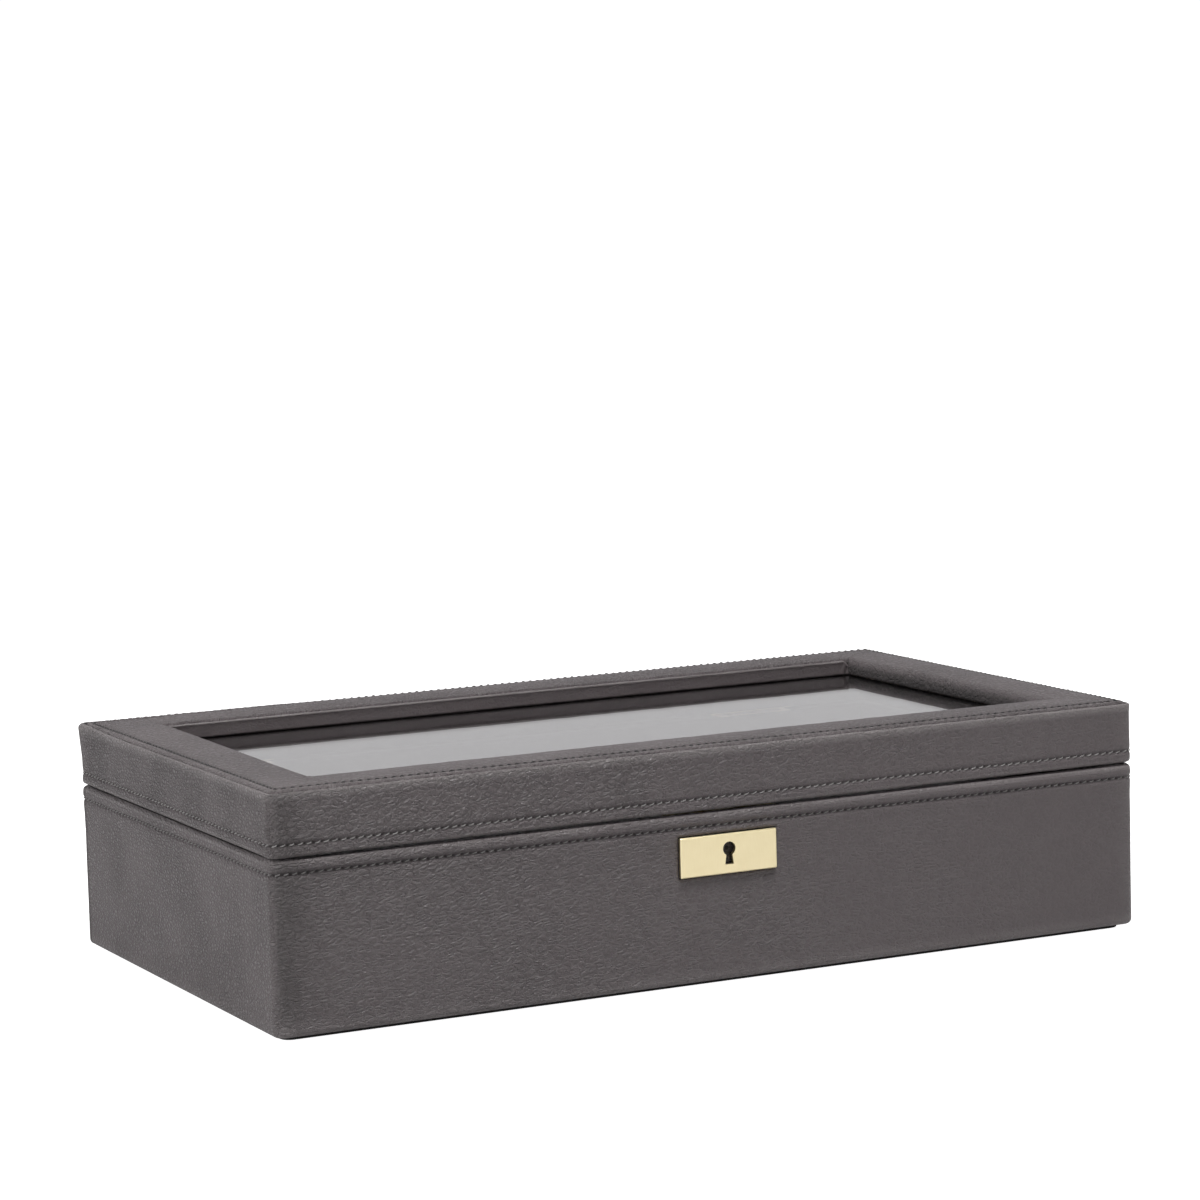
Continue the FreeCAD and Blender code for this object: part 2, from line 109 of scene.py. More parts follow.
def mesh_object(name, verts_mm, faces, smooth=True):
    me = bpy.data.meshes.new(name)
    me.from_pydata((np.asarray(verts_mm) * MM).tolist(), [], faces)
    me.polygons.foreach_set("use_smooth", [smooth] * len(me.polygons))
    me.update()
    ob = bpy.data.objects.new(name, me)
    scene.collection.objects.link(ob)
    return ob


def float_attribute(ob, name, values):
    at = ob.data.attributes.new(name, "FLOAT", "POINT")
    at.data.foreach_set("value", np.asarray(values, np.float32).ravel())


# --------------------------------------------- paths round the box, and rings


def segments(hx, hy, r):
    sx, sy, c = 2 * (hx - r), 2 * (hy - r), math.pi / 2 * r
    return [sx, c, sy, c, sx, c, sy, c]


def locate(s, hx, hy, r):
    """Which of the eight stretches s lies on, and how far along it, 0 to 1."""
    lens = np.array(segments(hx, hy, r))
    ends = np.cumsum(lens)
    s = np.mod(s, ends[-1])
    seg = np.minimum(np.searchsorted(ends, s, side="right"), 7)
    t = (s - (ends[seg] - lens[seg])) / lens[seg]
    return seg, t


def place(seg, t, o, rmin=0.3, hx=HX, hy=HY, r=R):
    """x, y at offset o from the outside, for stretches seg at t; arrays broadcast."""
    seg, t, o = np.broadcast_arrays(seg, t, o)
    Hx, Hy = hx + o, hy + o
    rr = np.maximum(r + o, rmin)
    ax, ay = Hx - rr, Hy - rr
    ang = np.radians(-90 + 90 * t + 90 * ((seg - 1) // 2))
    cx = np.where(np.isin(seg, (1, 3)), ax, -ax)
    cy = np.where(np.isin(seg, (3, 5)), ay, -ay)
    x = np.select([seg == 0, seg == 2, seg == 4, seg == 6],
                  [-ax + 2 * ax * t, Hx, ax - 2 * ax * t, -Hx], cx + rr * np.cos(ang))
    y = np.select([seg == 0, seg == 2, seg == 4, seg == 6],
                  [-Hy, -ay + 2 * ay * t, Hy, ay - 2 * ay * t], cy + rr * np.sin(ang))
    return x, y


def outward(seg, t):
    ang = np.where(seg % 2 == 1, np.radians(-90 + 90 * t + 90 * ((seg - 1) // 2)),
                   np.radians(-90 + 45 * seg))
    return np.cos(ang), np.sin(ang)


def contour(points, spacing):
    """Closed section through (o, z, radius) corners; spacing(o, z) is the longest step."""
    n = len(points)
    out = []
    P = [np.array(p[:2], float) for p in points]
    rad = [p[2] if len(p) > 2 else 0.0 for p in points]
    starts, arcs = [], []
    for i in range(n):
        a, b, c = P[i - 1], P[i], P[(i + 1) % n]
        u, v = (a - b) / np.linalg.norm(a - b), (c - b) / np.linalg.norm(c - b)
        cosang = float(np.clip(u @ v, -1, 1))
        half = math.acos(cosang) / 2
        rr = rad[i]
        if rr <= 0 or abs(half - math.pi / 2) < 1e-3:
            arcs.append([b])
            continue
        d = rr / math.tan(half)
        m = (u + v) / np.linalg.norm(u + v)
        cen = b + m * rr / math.sin(half)
        p0, p1 = b + u * d, b + v * d
        a0, a1 = math.atan2(*(p0 - cen)[::-1]), math.atan2(*(p1 - cen)[::-1])
        da = (a1 - a0 + math.pi) % (2 * math.pi) - math.pi
        k = max(3, int(abs(da) * rr / 0.28))
        arcs.append([cen + rr * np.array([math.cos(a0 + da * j / k), math.sin(a0 + da * j / k)])
                     for j in range(k + 1)])
    for i in range(n):
        arc = arcs[i]
        nxt = arcs[(i + 1) % n][0]
        out.extend(arc)
        p = arc[-1]
        while True:
            left = np.linalg.norm(nxt - p)
            step = spacing(p[0], p[1])
            if left <= step * 1.3:
                break
            p = p + (nxt - p) / left * step
            out.append(p)
    return np.array(out)


def section_normals(c):
    d = np.roll(c, -1, 0) - np.roll(c, 1, 0)
    d /= np.linalg.norm(d, axis=1)[:, None] + 1e-12
    return np.stack([d[:, 1], -d[:, 0]], 1)


def ring(name, sect, seg, t, shift=None, rmin=0.3):
    """Sweeps a closed section (J,2) or one per sample (N,J,2) round the box; shift is
    a displacement (N,J) along the section's normals. Returns the object and grids."""
    N = len(seg)
    if sect.ndim == 2:
        sect = np.broadcast_to(sect, (N,) + sect.shape)
    J = sect.shape[1]
    if shift is not None:
        d = np.roll(sect, -1, 1) - np.roll(sect, 1, 1)
        d = d / (np.linalg.norm(d, axis=2, keepdims=True) + 1e-12)
        sect = sect + np.stack([d[..., 1], -d[..., 0]], 2) * shift[..., None]
    x, y = place(seg[:, None], t[:, None], sect[..., 0], rmin)
    co = np.stack([x, y, sect[..., 1]], 2)
    k = np.arange(N)[:, None]
    j = np.arange(J)[None, :]
    k1, j1 = (k + 1) % N, (j + 1) % J
    quads = np.stack([k * J + j, k1 * J + j, k1 * J + j1, k * J + j1], 2).reshape(-1, 4)
    ob = mesh_object(name, co.reshape(-1, 3), quads.tolist())
    return ob, co


def stitch_phase(seg, t, s, pitch):
    return s / pitch


# --------------------------------------------------------------- materials


class Graph:
    def __init__(self, name):
        self.mat = bpy.data.materials.new(name)
        self.mat.use_nodes = True
        self.nt = self.mat.node_tree
        self.bsdf = self.nt.nodes["Principled BSDF"]
        self.out = self.nt.nodes["Material Output"]

    def node(self, kind, props=None, **inputs):
        nd = self.nt.nodes.new(kind)
        for k, v in (props or {}).items():
            setattr(nd, k, v)
        for k, v in inputs.items():
            key = int(k[1:]) if k[0] == "i" and k[1:].isdigit() else k.replace("_", " ")
            self.put(nd.inputs[key], v)
        return nd

    def put(self, socket, v):
        if isinstance(v, bpy.types.NodeSocket):
            self.nt.links.new(v, socket)
        elif isinstance(v, bpy.types.Node):
            self.nt.links.new(v.outputs[0], socket)
        else:
            socket.default_value = v

    def math(self, op, a, b=0.0, clamp=False):
        return self.node("ShaderNodeMath", {"operation": op, "use_clamp": clamp}, i0=a, i1=b).outputs[0]

    def vec(self, op, a, b):
        return self.node("ShaderNodeVectorMath", {"operation": op}, i0=a, i1=b).outputs[0]

    def remap(self, v, a, b, c, d, smooth=True):
        nd = self.node("ShaderNodeMapRange", {"interpolation_type": "SMOOTHSTEP" if smooth else "LINEAR"},
                       Value=v, From_Min=a, From_Max=b, To_Min=c, To_Max=d)
        return nd.outputs[0]

    def mix(self, f, a, b, mode="MIX"):
        nd = self.nt.nodes.new("ShaderNodeMix")
        nd.data_type = "RGBA"
        nd.blend_type = mode
        self.put(nd.inputs[0], f)
        self.put(nd.inputs[6], a)
        self.put(nd.inputs[7], b)
        return nd.outputs[2]

    def coords(self, scale=1000.0, stretch=(1, 1, 1)):
        tc = self.node("ShaderNodeTexCoord")
        mp = self.node("ShaderNodeMapping", {"vector_type": "POINT"}, Vector=tc.outputs["Object"])
        mp.inputs["Scale"].default_value = tuple(scale * k for k in stretch)
        return mp.outputs[0]

    def noise(self, vec, scale, detail=2.0, rough=0.5, dim="3D"):
        return self.node("ShaderNodeTexNoise", {"noise_dimensions": dim}, Vector=vec, Scale=scale,
                         Detail=detail, Roughness=rough)

    def voronoi(self, vec, scale, feature="DISTANCE_TO_EDGE", rnd=1.0):
        return self.node("ShaderNodeTexVoronoi", {"feature": feature}, Vector=vec, Scale=scale, Randomness=rnd)

    def bump(self, height, strength, distance, normal=None):
        nd = self.node("ShaderNodeBump", Height=height, Strength=strength, Distance=distance)
        if normal is not None:
            self.put(nd.inputs["Normal"], normal)
        return nd.outputs[0]

    def set(self, **kw):
        for k, v in kw.items():
            self.put(self.bsdf.inputs[k.replace("_", " ")], v)


LEATHER_COLOR = (0.0850, 0.0712, 0.0738, 1)


# lines sets how strong the painted highlight along the grain's creases is
def leather(name, grain=1.0, stretch=(1, 1, 1.45), tone=1.0, left_bias=True, lines=0.40):
    g = Graph(name)
    p = g.coords(1000.0)
    ps = g.coords(1000.0, stretch)
    warp = g.noise(ps, 0.22, 1.0)
    w1 = g.vec("MULTIPLY", g.vec("SUBTRACT", warp.outputs["Color"], (0.5, 0.5, 0.5)), (3.0, 3.0, 3.0))
    warp2 = g.noise(ps, 0.85, 1.0)
    w2 = g.vec("MULTIPLY", g.vec("SUBTRACT", warp2.outputs["Color"], (0.5, 0.5, 0.5)), (0.7, 0.7, 0.7))
    q = g.vec("ADD", g.vec("ADD", ps, w1), w2)
    big = g.voronoi(q, 0.43)
    small = g.voronoi(q, 0.95)
    fine = g.noise(p, 2.2, 3.0, 0.62)
    # rounded pebbles, a finer set riding on them
    c1 = g.math("POWER", g.remap(big.outputs["Distance"], 0.0, 0.34, 0.0, 1.0, smooth=False), 0.6)
    c2 = g.math("POWER", g.remap(small.outputs["Distance"], 0.0, 0.32, 0.0, 1.0, smooth=False), 0.6)
    patch = g.noise(p, 0.030, 2.0)
    amount = g.remap(patch.outputs[0], 0.35, 0.68, 0.72, 1.0)
    # the ends of the box keep a finer, rounder grain than the front
    across = g.node("ShaderNodeTexCoord")
    sepn = g.node("ShaderNodeSeparateXYZ", Vector=across.outputs["Normal"])
    end = g.remap(g.math("ABSOLUTE", sepn.outputs[0]), 0.45, 0.85, 0.0, 1.0) if left_bias else 0.0
    seed_grain = g.voronoi(g.vec("ADD", g.coords(1000.0, (1, 0.52, 1.0)), w2), 0.86)
    c3 = g.math("POWER", g.remap(seed_grain.outputs["Distance"], 0.0, 0.36, 0.0, 1.0, smooth=False), 0.7)
    # the grain's relief and its painted crease highlights are strongest at the left end and fade to the right, where
    # the light grazes less
    if left_bias:
        sep = g.node("ShaderNodeSeparateXYZ", Vector=p)
        side = g.remap(sep.outputs[0], -70.0, 140.0, 1.0, 0.40, smooth=False)
        amount = g.math("MULTIPLY", amount, side)
    h = g.math("ADD", g.math("MULTIPLY", c1, 0.85), g.math("MULTIPLY", c2, 0.30))
    h = g.math("ADD", h, g.math("MULTIPLY", fine.outputs[0], 0.16))
    if left_bias:
        hn = g.node("ShaderNodeMix", {"data_type": "FLOAT"}, Factor=end)
        g.put(hn.inputs[2], h)
        g.put(hn.inputs[3], g.math("MULTIPLY", g.math("ADD", g.math("MULTIPLY", c3, 0.80), g.math("MULTIPLY", c1, 0.12)), 1.55))
        h = hn.outputs[0]
    nd = g.node("ShaderNodeBump", Height=h, Strength=g.math("MULTIPLY", amount, 1.0 * grain), Distance=0.00074)
    # long soft waves of hand-laid leather
    soft = g.noise(p, 0.055, 1.0)
    nd2 = g.node("ShaderNodeBump", Height=soft.outputs[0], Strength=0.02, Distance=0.0012, Normal=nd.outputs[0])
    g.set(Normal=nd2.outputs[0])
    # wear_and_highlight lightens rubbed edges and also paints highlights where edges catch the light; painted_shade
    # darkens towards near-black where shade falls
    wear_and_highlight = g.node("ShaderNodeAttribute", {"attribute_name": "wear_and_highlight"})
    painted_shade = g.node("ShaderNodeAttribute", {"attribute_name": "painted_shade"})
    blot = g.noise(p, 0.028, 3.0, 0.55)
    tint = g.noise(p, 0.11, 2.0)
    base = tuple(c * tone for c in LEATHER_COLOR[:3]) + (1,)
    dark = tuple(c * tone * 0.55 for c in LEATHER_COLOR[:3]) + (1,)
    light = (0.190 * tone, 0.173 * tone, 0.172 * tone, 1)
    # painted highlight: thin light lines along the grain's creases, where the pebbles' edges would catch the light
    crease_highlight = g.math("MAXIMUM", g.remap(big.outputs["Distance"], 0.02, 0.14, 1.0, 0.0),
                  g.math("MULTIPLY", g.remap(small.outputs["Distance"], 0.02, 0.14, 1.0, 0.0), 0.40))
    broken = g.remap(g.noise(p, 0.35, 1.0).outputs[0], 0.36, 0.56, 0.10, 1.0)
    crease_highlight = g.math("MULTIPLY", g.math("MULTIPLY", crease_highlight, broken), amount)
    if left_bias:
        crease_highlight = g.math("MULTIPLY", crease_highlight, g.math("SUBTRACT", 1.0, g.math("MULTIPLY", end, 0.75)))
    col = g.mix(g.math("MULTIPLY", g.math("SUBTRACT", 1.0, c1, clamp=True), g.math("MULTIPLY", amount, 0.10)), base, dark)
    col = g.mix(g.math("MULTIPLY", c1, g.math("MULTIPLY", amount, 0.16)), col, dark)
    col = g.mix(g.math("MULTIPLY", crease_highlight, lines), col, (0.185 * tone, 0.168 * tone, 0.170 * tone, 1))
    col = g.mix(g.math("MULTIPLY", g.remap(blot.outputs[0], 0.35, 0.7, 0.0, 1.0), 0.05), col, light)
    col = g.mix(g.math("MULTIPLY", g.remap(tint.outputs[0], 0.4, 0.7, 0.0, 1.0), 0.12), col, (0.108 * tone, 0.086 * tone, 0.088 * tone, 1))
    col = g.mix(g.math("MULTIPLY", wear_and_highlight.outputs["Fac"], g.remap(fine.outputs[0], 0.35, 0.62, 0.45, 0.9)), col, light)
    # painted shade: near-black brown mixed in by the painted_shade attribute
    col = g.mix(g.math("MULTIPLY", painted_shade.outputs["Fac"], 0.85), col, (0.016, 0.0135, 0.0135, 1))
    rough = g.remap(h, 0.2, 1.2, 0.56, 0.38)
    rough = g.math("ADD", rough, g.math("MULTIPLY", g.math("SUBTRACT", blot.outputs[0], 0.5), 0.16))
    rough = g.math("SUBTRACT", rough, g.math("MULTIPLY", wear_and_highlight.outputs["Fac"], 0.06))
    rough = g.math("ADD", rough, g.math("MULTIPLY", painted_shade.outputs["Fac"], 0.40))
    g.set(Base_Color=col, Roughness=rough)
    g.bsdf.inputs["Specular IOR Level"].default_value = 0.5
    return g.mat


def velour(name, color, nap=1.0, sheen=0.55):
    g = Graph(name)
    p = g.coords(1000.0)
    pile = g.noise(p, 3.2, 2.0, 0.7)
    clump = g.noise(p, 0.9, 2.0, 0.6)
    brush = g.noise(g.coords(1000.0, (1.0, 0.35, 1.0)), 0.05, 3.0, 0.6)
    a = tuple(color) + (1,)
    b = tuple(c * 1.75 for c in color) + (1,)
    d = tuple(c * 0.55 for c in color) + (1,)
    col = g.mix(g.remap(pile.outputs[0], 0.32, 0.68, 0.0, 1.0), d, a)
    col = g.mix(g.math("MULTIPLY", g.remap(brush.outputs[0], 0.42, 0.66, 0.0, 1.0), 0.45 * nap), col, b)
    col = g.mix(g.math("MULTIPLY", g.remap(clump.outputs[0], 0.5, 0.75, 0.0, 1.0), 0.25), col, b)
    h = g.math("ADD", g.math("MULTIPLY", pile.outputs[0], 0.7), g.math("MULTIPLY", clump.outputs[0], 0.8))
    g.set(Base_Color=col, Roughness=g.remap(pile.outputs[0], 0.3, 0.7, 0.98, 0.86),
          Normal=g.bump(h, 0.55, 0.00025))
    g.bsdf.inputs["Specular IOR Level"].default_value = 0.15
    g.bsdf.inputs["Sheen Weight"].default_value = sheen
    g.bsdf.inputs["Sheen Roughness"].default_value = 0.42
    g.bsdf.inputs["Sheen Tint"].default_value = (0.64, 0.575, 0.59, 1)
    return g.mat


def brass(name, color, rough=0.26, along=(0.05, 1.0, 1.0), brush=1.0, tarnish=0.12):
    g = Graph(name)
    lines = g.noise(g.coords(1000.0, along), 9.0, 3.0, 0.6)
    lines2 = g.noise(g.coords(1000.0, along), 2.4, 2.0, 0.5)
    spots = g.noise(g.coords(1000.0), 0.22, 3.0, 0.55)
    c = tuple(color) + (1,)
    darker = (color[0] * 0.86, color[1] * 0.82, color[2] * 0.72, 1)
    col = g.mix(g.math("MULTIPLY", g.remap(lines.outputs[0], 0.35, 0.65, 0.0, 1.0), 0.28 * brush), c, darker)
    col = g.mix(g.math("MULTIPLY", g.remap(spots.outputs[0], 0.45, 0.75, 0.0, 1.0), tarnish), col, darker)
    h = g.math("ADD", g.math("MULTIPLY", lines.outputs[0], 0.6), g.math("MULTIPLY", lines2.outputs[0], 0.4))
    r = g.math("ADD", rough, g.math("MULTIPLY", g.math("SUBTRACT", lines.outputs[0], 0.5), 0.22 * brush))
    r = g.math("ADD", r, g.math("MULTIPLY", g.math("SUBTRACT", spots.outputs[0], 0.5), 0.10))
    g.set(Base_Color=col, Roughness=r, Normal=g.bump(h, 0.16 * brush, 0.00004))
    g.bsdf.inputs["Metallic"].default_value = 1.0
    return g.mat


def thread(name, color):
    g = Graph(name)
    tc = g.node("ShaderNodeTexCoord")
    mp = g.node("ShaderNodeMapping", Vector=tc.outputs["UV"])
    mp.inputs["Scale"].default_value = (1.0, 1.0, 1.0)
    wave = g.node("ShaderNodeTexWave", {"wave_type": "BANDS", "bands_direction": "DIAGONAL"},
                  Vector=mp.outputs[0], Scale=3.2, Distortion=0.4, Detail=1.0)
    fuzz = g.noise(g.coords(1000.0), 6.0, 2.0, 0.6)
    c = tuple(color) + (1,)
    d = tuple(k * 0.42 for k in color) + (1,)
    col = g.mix(g.remap(wave.outputs["Fac"], 0.1, 0.6, 0.0, 1.0), d, c)
    col = g.mix(g.math("MULTIPLY", fuzz.outputs[0], 0.3), col, tuple(k * 1.5 for k in color) + (1,))
    h = g.math("ADD", wave.outputs["Fac"], g.math("MULTIPLY", fuzz.outputs[0], 0.3))
    g.set(Base_Color=col, Roughness=g.remap(fuzz.outputs[0], 0.3, 0.7, 0.72, 0.55), Normal=g.bump(h, 0.6, 0.00010))
    g.bsdf.inputs["Sheen Weight"].default_value = 0.25
    return g.mat


def board_material(name):
    g = Graph(name)
    fib = g.noise(g.coords(1000.0, (0.4, 1, 1)), 1.6, 4.0, 0.65)
    fine = g.noise(g.coords(1000.0), 5.0, 2.0)
    col = g.mix(g.remap(fib.outputs[0], 0.35, 0.65, 0.0, 1.0), (0.30, 0.20, 0.12, 1), (0.44, 0.32, 0.21, 1))
    g.set(Base_Color=col, Roughness=g.remap(fine.outputs[0], 0.3, 0.7, 0.9, 0.75), Normal=g.bump(fib.outputs[0], 0.4, 0.0002))
    return g.mat


def base_cloth(name):
    g = Graph(name)
    p = g.coords(1000.0)
    wx = g.node("ShaderNodeTexWave", {"wave_type": "BANDS", "bands_direction": "X"}, Vector=p, Scale=0.55, Distortion=0.6, Detail=1.0)
    wy = g.node("ShaderNodeTexWave", {"wave_type": "BANDS", "bands_direction": "Y"}, Vector=p, Scale=0.55, Distortion=0.6, Detail=1.0)
    weave = g.math("MULTIPLY", wx.outputs["Fac"], wy.outputs["Fac"])
    dust = g.noise(p, 0.08, 3.0, 0.6)
    col = g.mix(weave, (0.012, 0.011, 0.011, 1), (0.030, 0.028, 0.028, 1))
    col = g.mix(g.math("MULTIPLY", g.remap(dust.outputs[0], 0.5, 0.75, 0.0, 1.0), 0.3), col, (0.055, 0.05, 0.048, 1))
    g.set(Base_Color=col, Roughness=g.remap(dust.outputs[0], 0.3, 0.7, 0.62, 0.82), Normal=g.bump(weave, 0.4, 0.00015))
    g.bsdf.inputs["Specular IOR Level"].default_value = 0.35
    return g.mat


def steel(name, color=(0.42, 0.42, 0.43), rough=0.34):
    g = Graph(name)
    lines = g.noise(g.coords(1000.0, (0.1, 1, 1)), 6.0, 3.0, 0.6)
    spots = g.noise(g.coords(1000.0), 0.5, 3.0)
    c = tuple(color) + (1,)
    d = tuple(k * 0.55 for k in color) + (1,)
    col = g.mix(g.remap(spots.outputs[0], 0.4, 0.7, 0.0, 0.5), c, d)
    g.set(Base_Color=col, Roughness=g.math("ADD", rough, g.math("MULTIPLY", g.math("SUBTRACT", lines.outputs[0], 0.5), 0.25)),
          Normal=g.bump(lines.outputs[0], 0.15, 0.00004))
    g.bsdf.inputs["Metallic"].default_value = 1.0
    return g.mat


def glass(name):
    g = Graph(name)
    smear = g.noise(g.coords(1000.0, (0.35, 1, 1)), 0.02, 3.0, 0.6)
    g.set(Roughness=g.remap(smear.outputs[0], 0.45, 0.75, 0.0, 0.035),
          Base_Color=g.mix(g.remap(smear.outputs[0], 0.4, 0.7, 0.0, 1.0), (0.975, 0.982, 0.985, 1), (0.965, 0.972, 0.975, 1)))
    g.bsdf.inputs["Transmission Weight"].default_value = 1.0
    g.bsdf.inputs["IOR"].default_value = 1.5
    return g.mat


M_CASE = leather("leather_case", grain=0.92, stretch=(0.80, 1, 1.60), lines=0.30)
M_LID = leather("leather_lid", grain=1.05, stretch=(0.88, 1, 1.25), lines=0.34)
# the frame's top leather is the same hide as the sides, coloured 10 % lighter: painted light on the upward-facing top
M_TOP = leather("leather_frame", grain=1.25, stretch=(1.30, 0.85, 1.25), tone=1.10, left_bias=False, lines=0.22)
M_WALL = leather("leather_window", grain=0.22, stretch=(1, 1, 1.2), tone=1.02, left_bias=False, lines=0.06)
M_VELOUR = velour("velour_lining", (0.054, 0.0465, 0.0478))
M_CUSHION = velour("velour_cushion", (0.075, 0.0655, 0.0668), nap=1.0, sheen=0.60)
M_PLATE = brass("brass_plate", (0.93, 0.81, 0.525), rough=0.33, along=(1.0, 1.0, 0.04), brush=0.6, tarnish=0.10)
M_BRASS = brass("brass_fittings", (0.80, 0.69, 0.43), rough=0.34, tarnish=0.12)
M_SCREW = brass("brass_screws", (0.50, 0.40, 0.23), rough=0.42, along=(1, 1, 1), tarnish=0.3)
# painted shade: the lock's steel is made near-black so the keyhole and the lock inside read as shade
M_STEEL_SHADED = steel("steel_lock_shaded", (0.030, 0.029, 0.028), rough=0.66)
# painted shade: dull dark brass for the lock's edge plate and strike plate, which sit in the shade of the closed gap
M_SHADOW_BRASS = brass("brass_shaded", (0.33, 0.27, 0.16), rough=0.46, tarnish=0.3)
M_THREAD = thread("thread_grey", (0.29, 0.278, 0.272))
M_THREAD_CASE = thread("thread_case", (0.200, 0.190, 0.187))
# painted shade: the top row's thread, the same thread as on the side rows, made nearly black as it lies sunk in its
# groove
M_THREAD_TOP_SHADED = thread("thread_top_shaded", (0.022, 0.020, 0.020))
M_BOARD = board_material("fibreboard")
M_BASE = base_cloth("base_black_cloth")
M_GLASS = glass("float_glass")
M_FOAM = velour("foam_padding", (0.42, 0.40, 0.36), sheen=0.0)


def dress(ob, mat):
    ob.data.materials.clear()
    ob.data.materials.append(mat)


# ------------------------------------------------- the leather of the body


def samples(row_offset, per_stitch=4, pitch=PITCH, rmin=0.3, corner=10):
    """Even steps along the straights that meet every stitch hole, finer in the corners, a whole number of stitches."""
    hx, hy, r = HX + row_offset, HY + row_offset, max(R + row_offset, rmin)
    lens = segments(hx, hy, r)
    L = sum(lens)
    n = int(round(L / pitch))
    step = L / n / per_stitch
    seg, t, s, start = [], [], [], 0.0
    for i, ln in enumerate(lens):
        if i % 2 == 0:
            ss = np.arange(math.ceil(start / step + 0.15), math.floor((start + ln) / step - 0.15) + 1) * step
            tt = (ss - start) / ln
        else:
            tt = (np.arange(corner) + 0.5) / corner
        seg += [i] * len(tt)
        t += list(tt)
        s += list(start + tt * ln)
        start += ln
    return np.array(seg), np.array(t), np.array(s), L / n, n


def hole(phase, width=0.13):
    d = np.abs((phase + 0.5) % 1.0 - 0.5)
    return np.exp(-(d / width) ** 2)


def cosp(phase):
    return np.cos(2 * np.pi * phase)


seg, t, s, pitch_c, n_c = samples(0.0)
phase = (s / pitch_c)[:, None]
base_x, base_y = place(seg, t, 0.0)
PL, PR, PB, PT = -19.0, 19.0, 39.1, 53.2      # the lock plate's edges


def case_spacing(o, z):
    if o > -0.6 and z > 54.2:
        return 0.38
    if o > -0.6 and (37.94 < z < 39.7 or 52.44 < z <= 54.2):
        return 0.42
    if o > -0.6:
        left = (37.95 if z < 37.9 else 52.45) - z
        return left / math.ceil(left / 3.3)
    return 3.4 if z > 60 else 60.0


sect = contour([(-13.5, 2.12), (-4.6, 2.12), (-4.1, 1.45), (0.0, 1.42, 2.0), (0.0, 61.14, 1.15), (-1.9, 61.14, 0.75), (-2.5, 60.66),
                (-9.15, 60.66), (-9.15, 59.76), (-1.2, 59.76), (-1.2, 3.16), (-13.5, 3.16)], case_spacing)
o_, z_ = sect[None, :, 0], sect[None, :, 1]
outer = (o_ > -0.9) & (z_ > 1.6)
X, Y = base_x[:, None], base_y[:, None]
d = z_ - CASE_ROW
h = np.zeros((len(seg), sect.shape[0]))
h += -0.30 * np.exp(-(d / 0.75) ** 2)
h += -0.42 * np.exp(-(d / 0.48) ** 2) * hole(phase, 0.15)
band = np.clip((z_ - (CASE_ROW + 0.35)) / (60.9 - CASE_ROW - 0.35), 0, 1)
puff = np.where((seg == 0)[:, None], 0.26 + 0.36 * sstep(0, 14, HX - np.abs(X)), 0.26)
h += (puff * np.sin(np.pi * band ** 0.80) ** 0.8 - 0.16 * band ** 2.2) * (1 + 0.16 * vnoise(X / 22, Y / 22, z_ / 9, 3)) \
    * (z_ > CASE_ROW + 0.35)
h += 0.055 * np.exp(-((d - 1.1) / 0.7) ** 2) * -cosp(phase)
h += 0.075 * np.exp(-((d + 1.15) / 0.75) ** 2) * -cosp(phase)
h += 0.12 * np.exp(-((d + 2.6) / 2.0) ** 2)
h += 0.02 * vnoise(X / 34, Y / 34, z_ / 26, 5) * sstep(2.5, 8, z_) * (1 - sstep(54, 56, z_))
h += 0.035 * vnoise(X / 9, Y / 9, z_ / 7, 6)
# the leather is pressed in round the lock plate
front = (seg == 0)[:, None]
dx = np.maximum(np.maximum(PL - X, X - PR), 0)
dz = np.maximum(np.maximum(PB - z_, z_ - PT), 0)
near = np.hypot(dx, dz)
h += np.where(front & (o_ > -0.3), -0.62 * (1 - sstep(0.15, 0.75, near)) + 0.07 * np.exp(-((near - 1.3) / 0.6) ** 2), 0)
# dents and pulls at the four corners
corner = np.minimum(np.abs(np.abs(X) - HX) + np.abs(np.abs(Y) - HY), 30)
h += 0.10 * np.exp(-(corner / 7) ** 2) * vnoise(X / 4, Y / 4, z_ / 14, 8)
h = np.where(outer | ((o_ > -8.5) & (z_ > 60.3)), h, 0) * sstep(1.7, 2.2, z_)
bead = 0.06 * vnoise(X / 12, Y / 12, o_ / 4, 9) * np.ones_like(z_)
h = np.where((z_ > 60.5) & (o_ < -0.9), bead, h)
fl_corner = np.hypot(X + HX, Y + HY)                       # from the front left corner
h += 0.24 * np.exp(-(fl_corner / 7.0) ** 2) * ((z_ > 60.9) & (o_ > -2.2))
# room for the hinges on the back edge
hinge = ((seg == 4)[:, None] & (np.abs(np.abs(X) - 112) < 16.6))
h = np.where(hinge & (z_ > 58.9) & (o_ > -0.9), np.minimum(h, -1.15), h)
h = np.where(hinge & (z_ > 60.85) & (o_ <= -0.9), -0.46, h)
case_skin, co = ring("case_leather_skin", sect, seg, t, h)
# the rim's leather is cut away where the lock's edge plate is let in
order = np.argsort(co[:, 0, 0] * np.where(seg == 0, 1, np.nan))
row = [i for i in order if seg[i] == 0]
inside = [i for i in row if abs(co[i, 0, 0]) < 21.55]
ends = {inside[0]: -21.50, inside[-1]: 21.50, inside[0] - 1: -21.56, inside[-1] + 1: 21.56}
back_part = sect[:, 0] < -1.85
back_part &= sect[:, 1] > 50
for i in inside:
    co[i, back_part, 1] = -93.22
for i, xx in ends.items():
    co[i, back_part, 0] = xx
case_skin.data.vertices.foreach_set("co", (co / 1000.0).astype(np.float32).ravel())
case_skin.data.update()
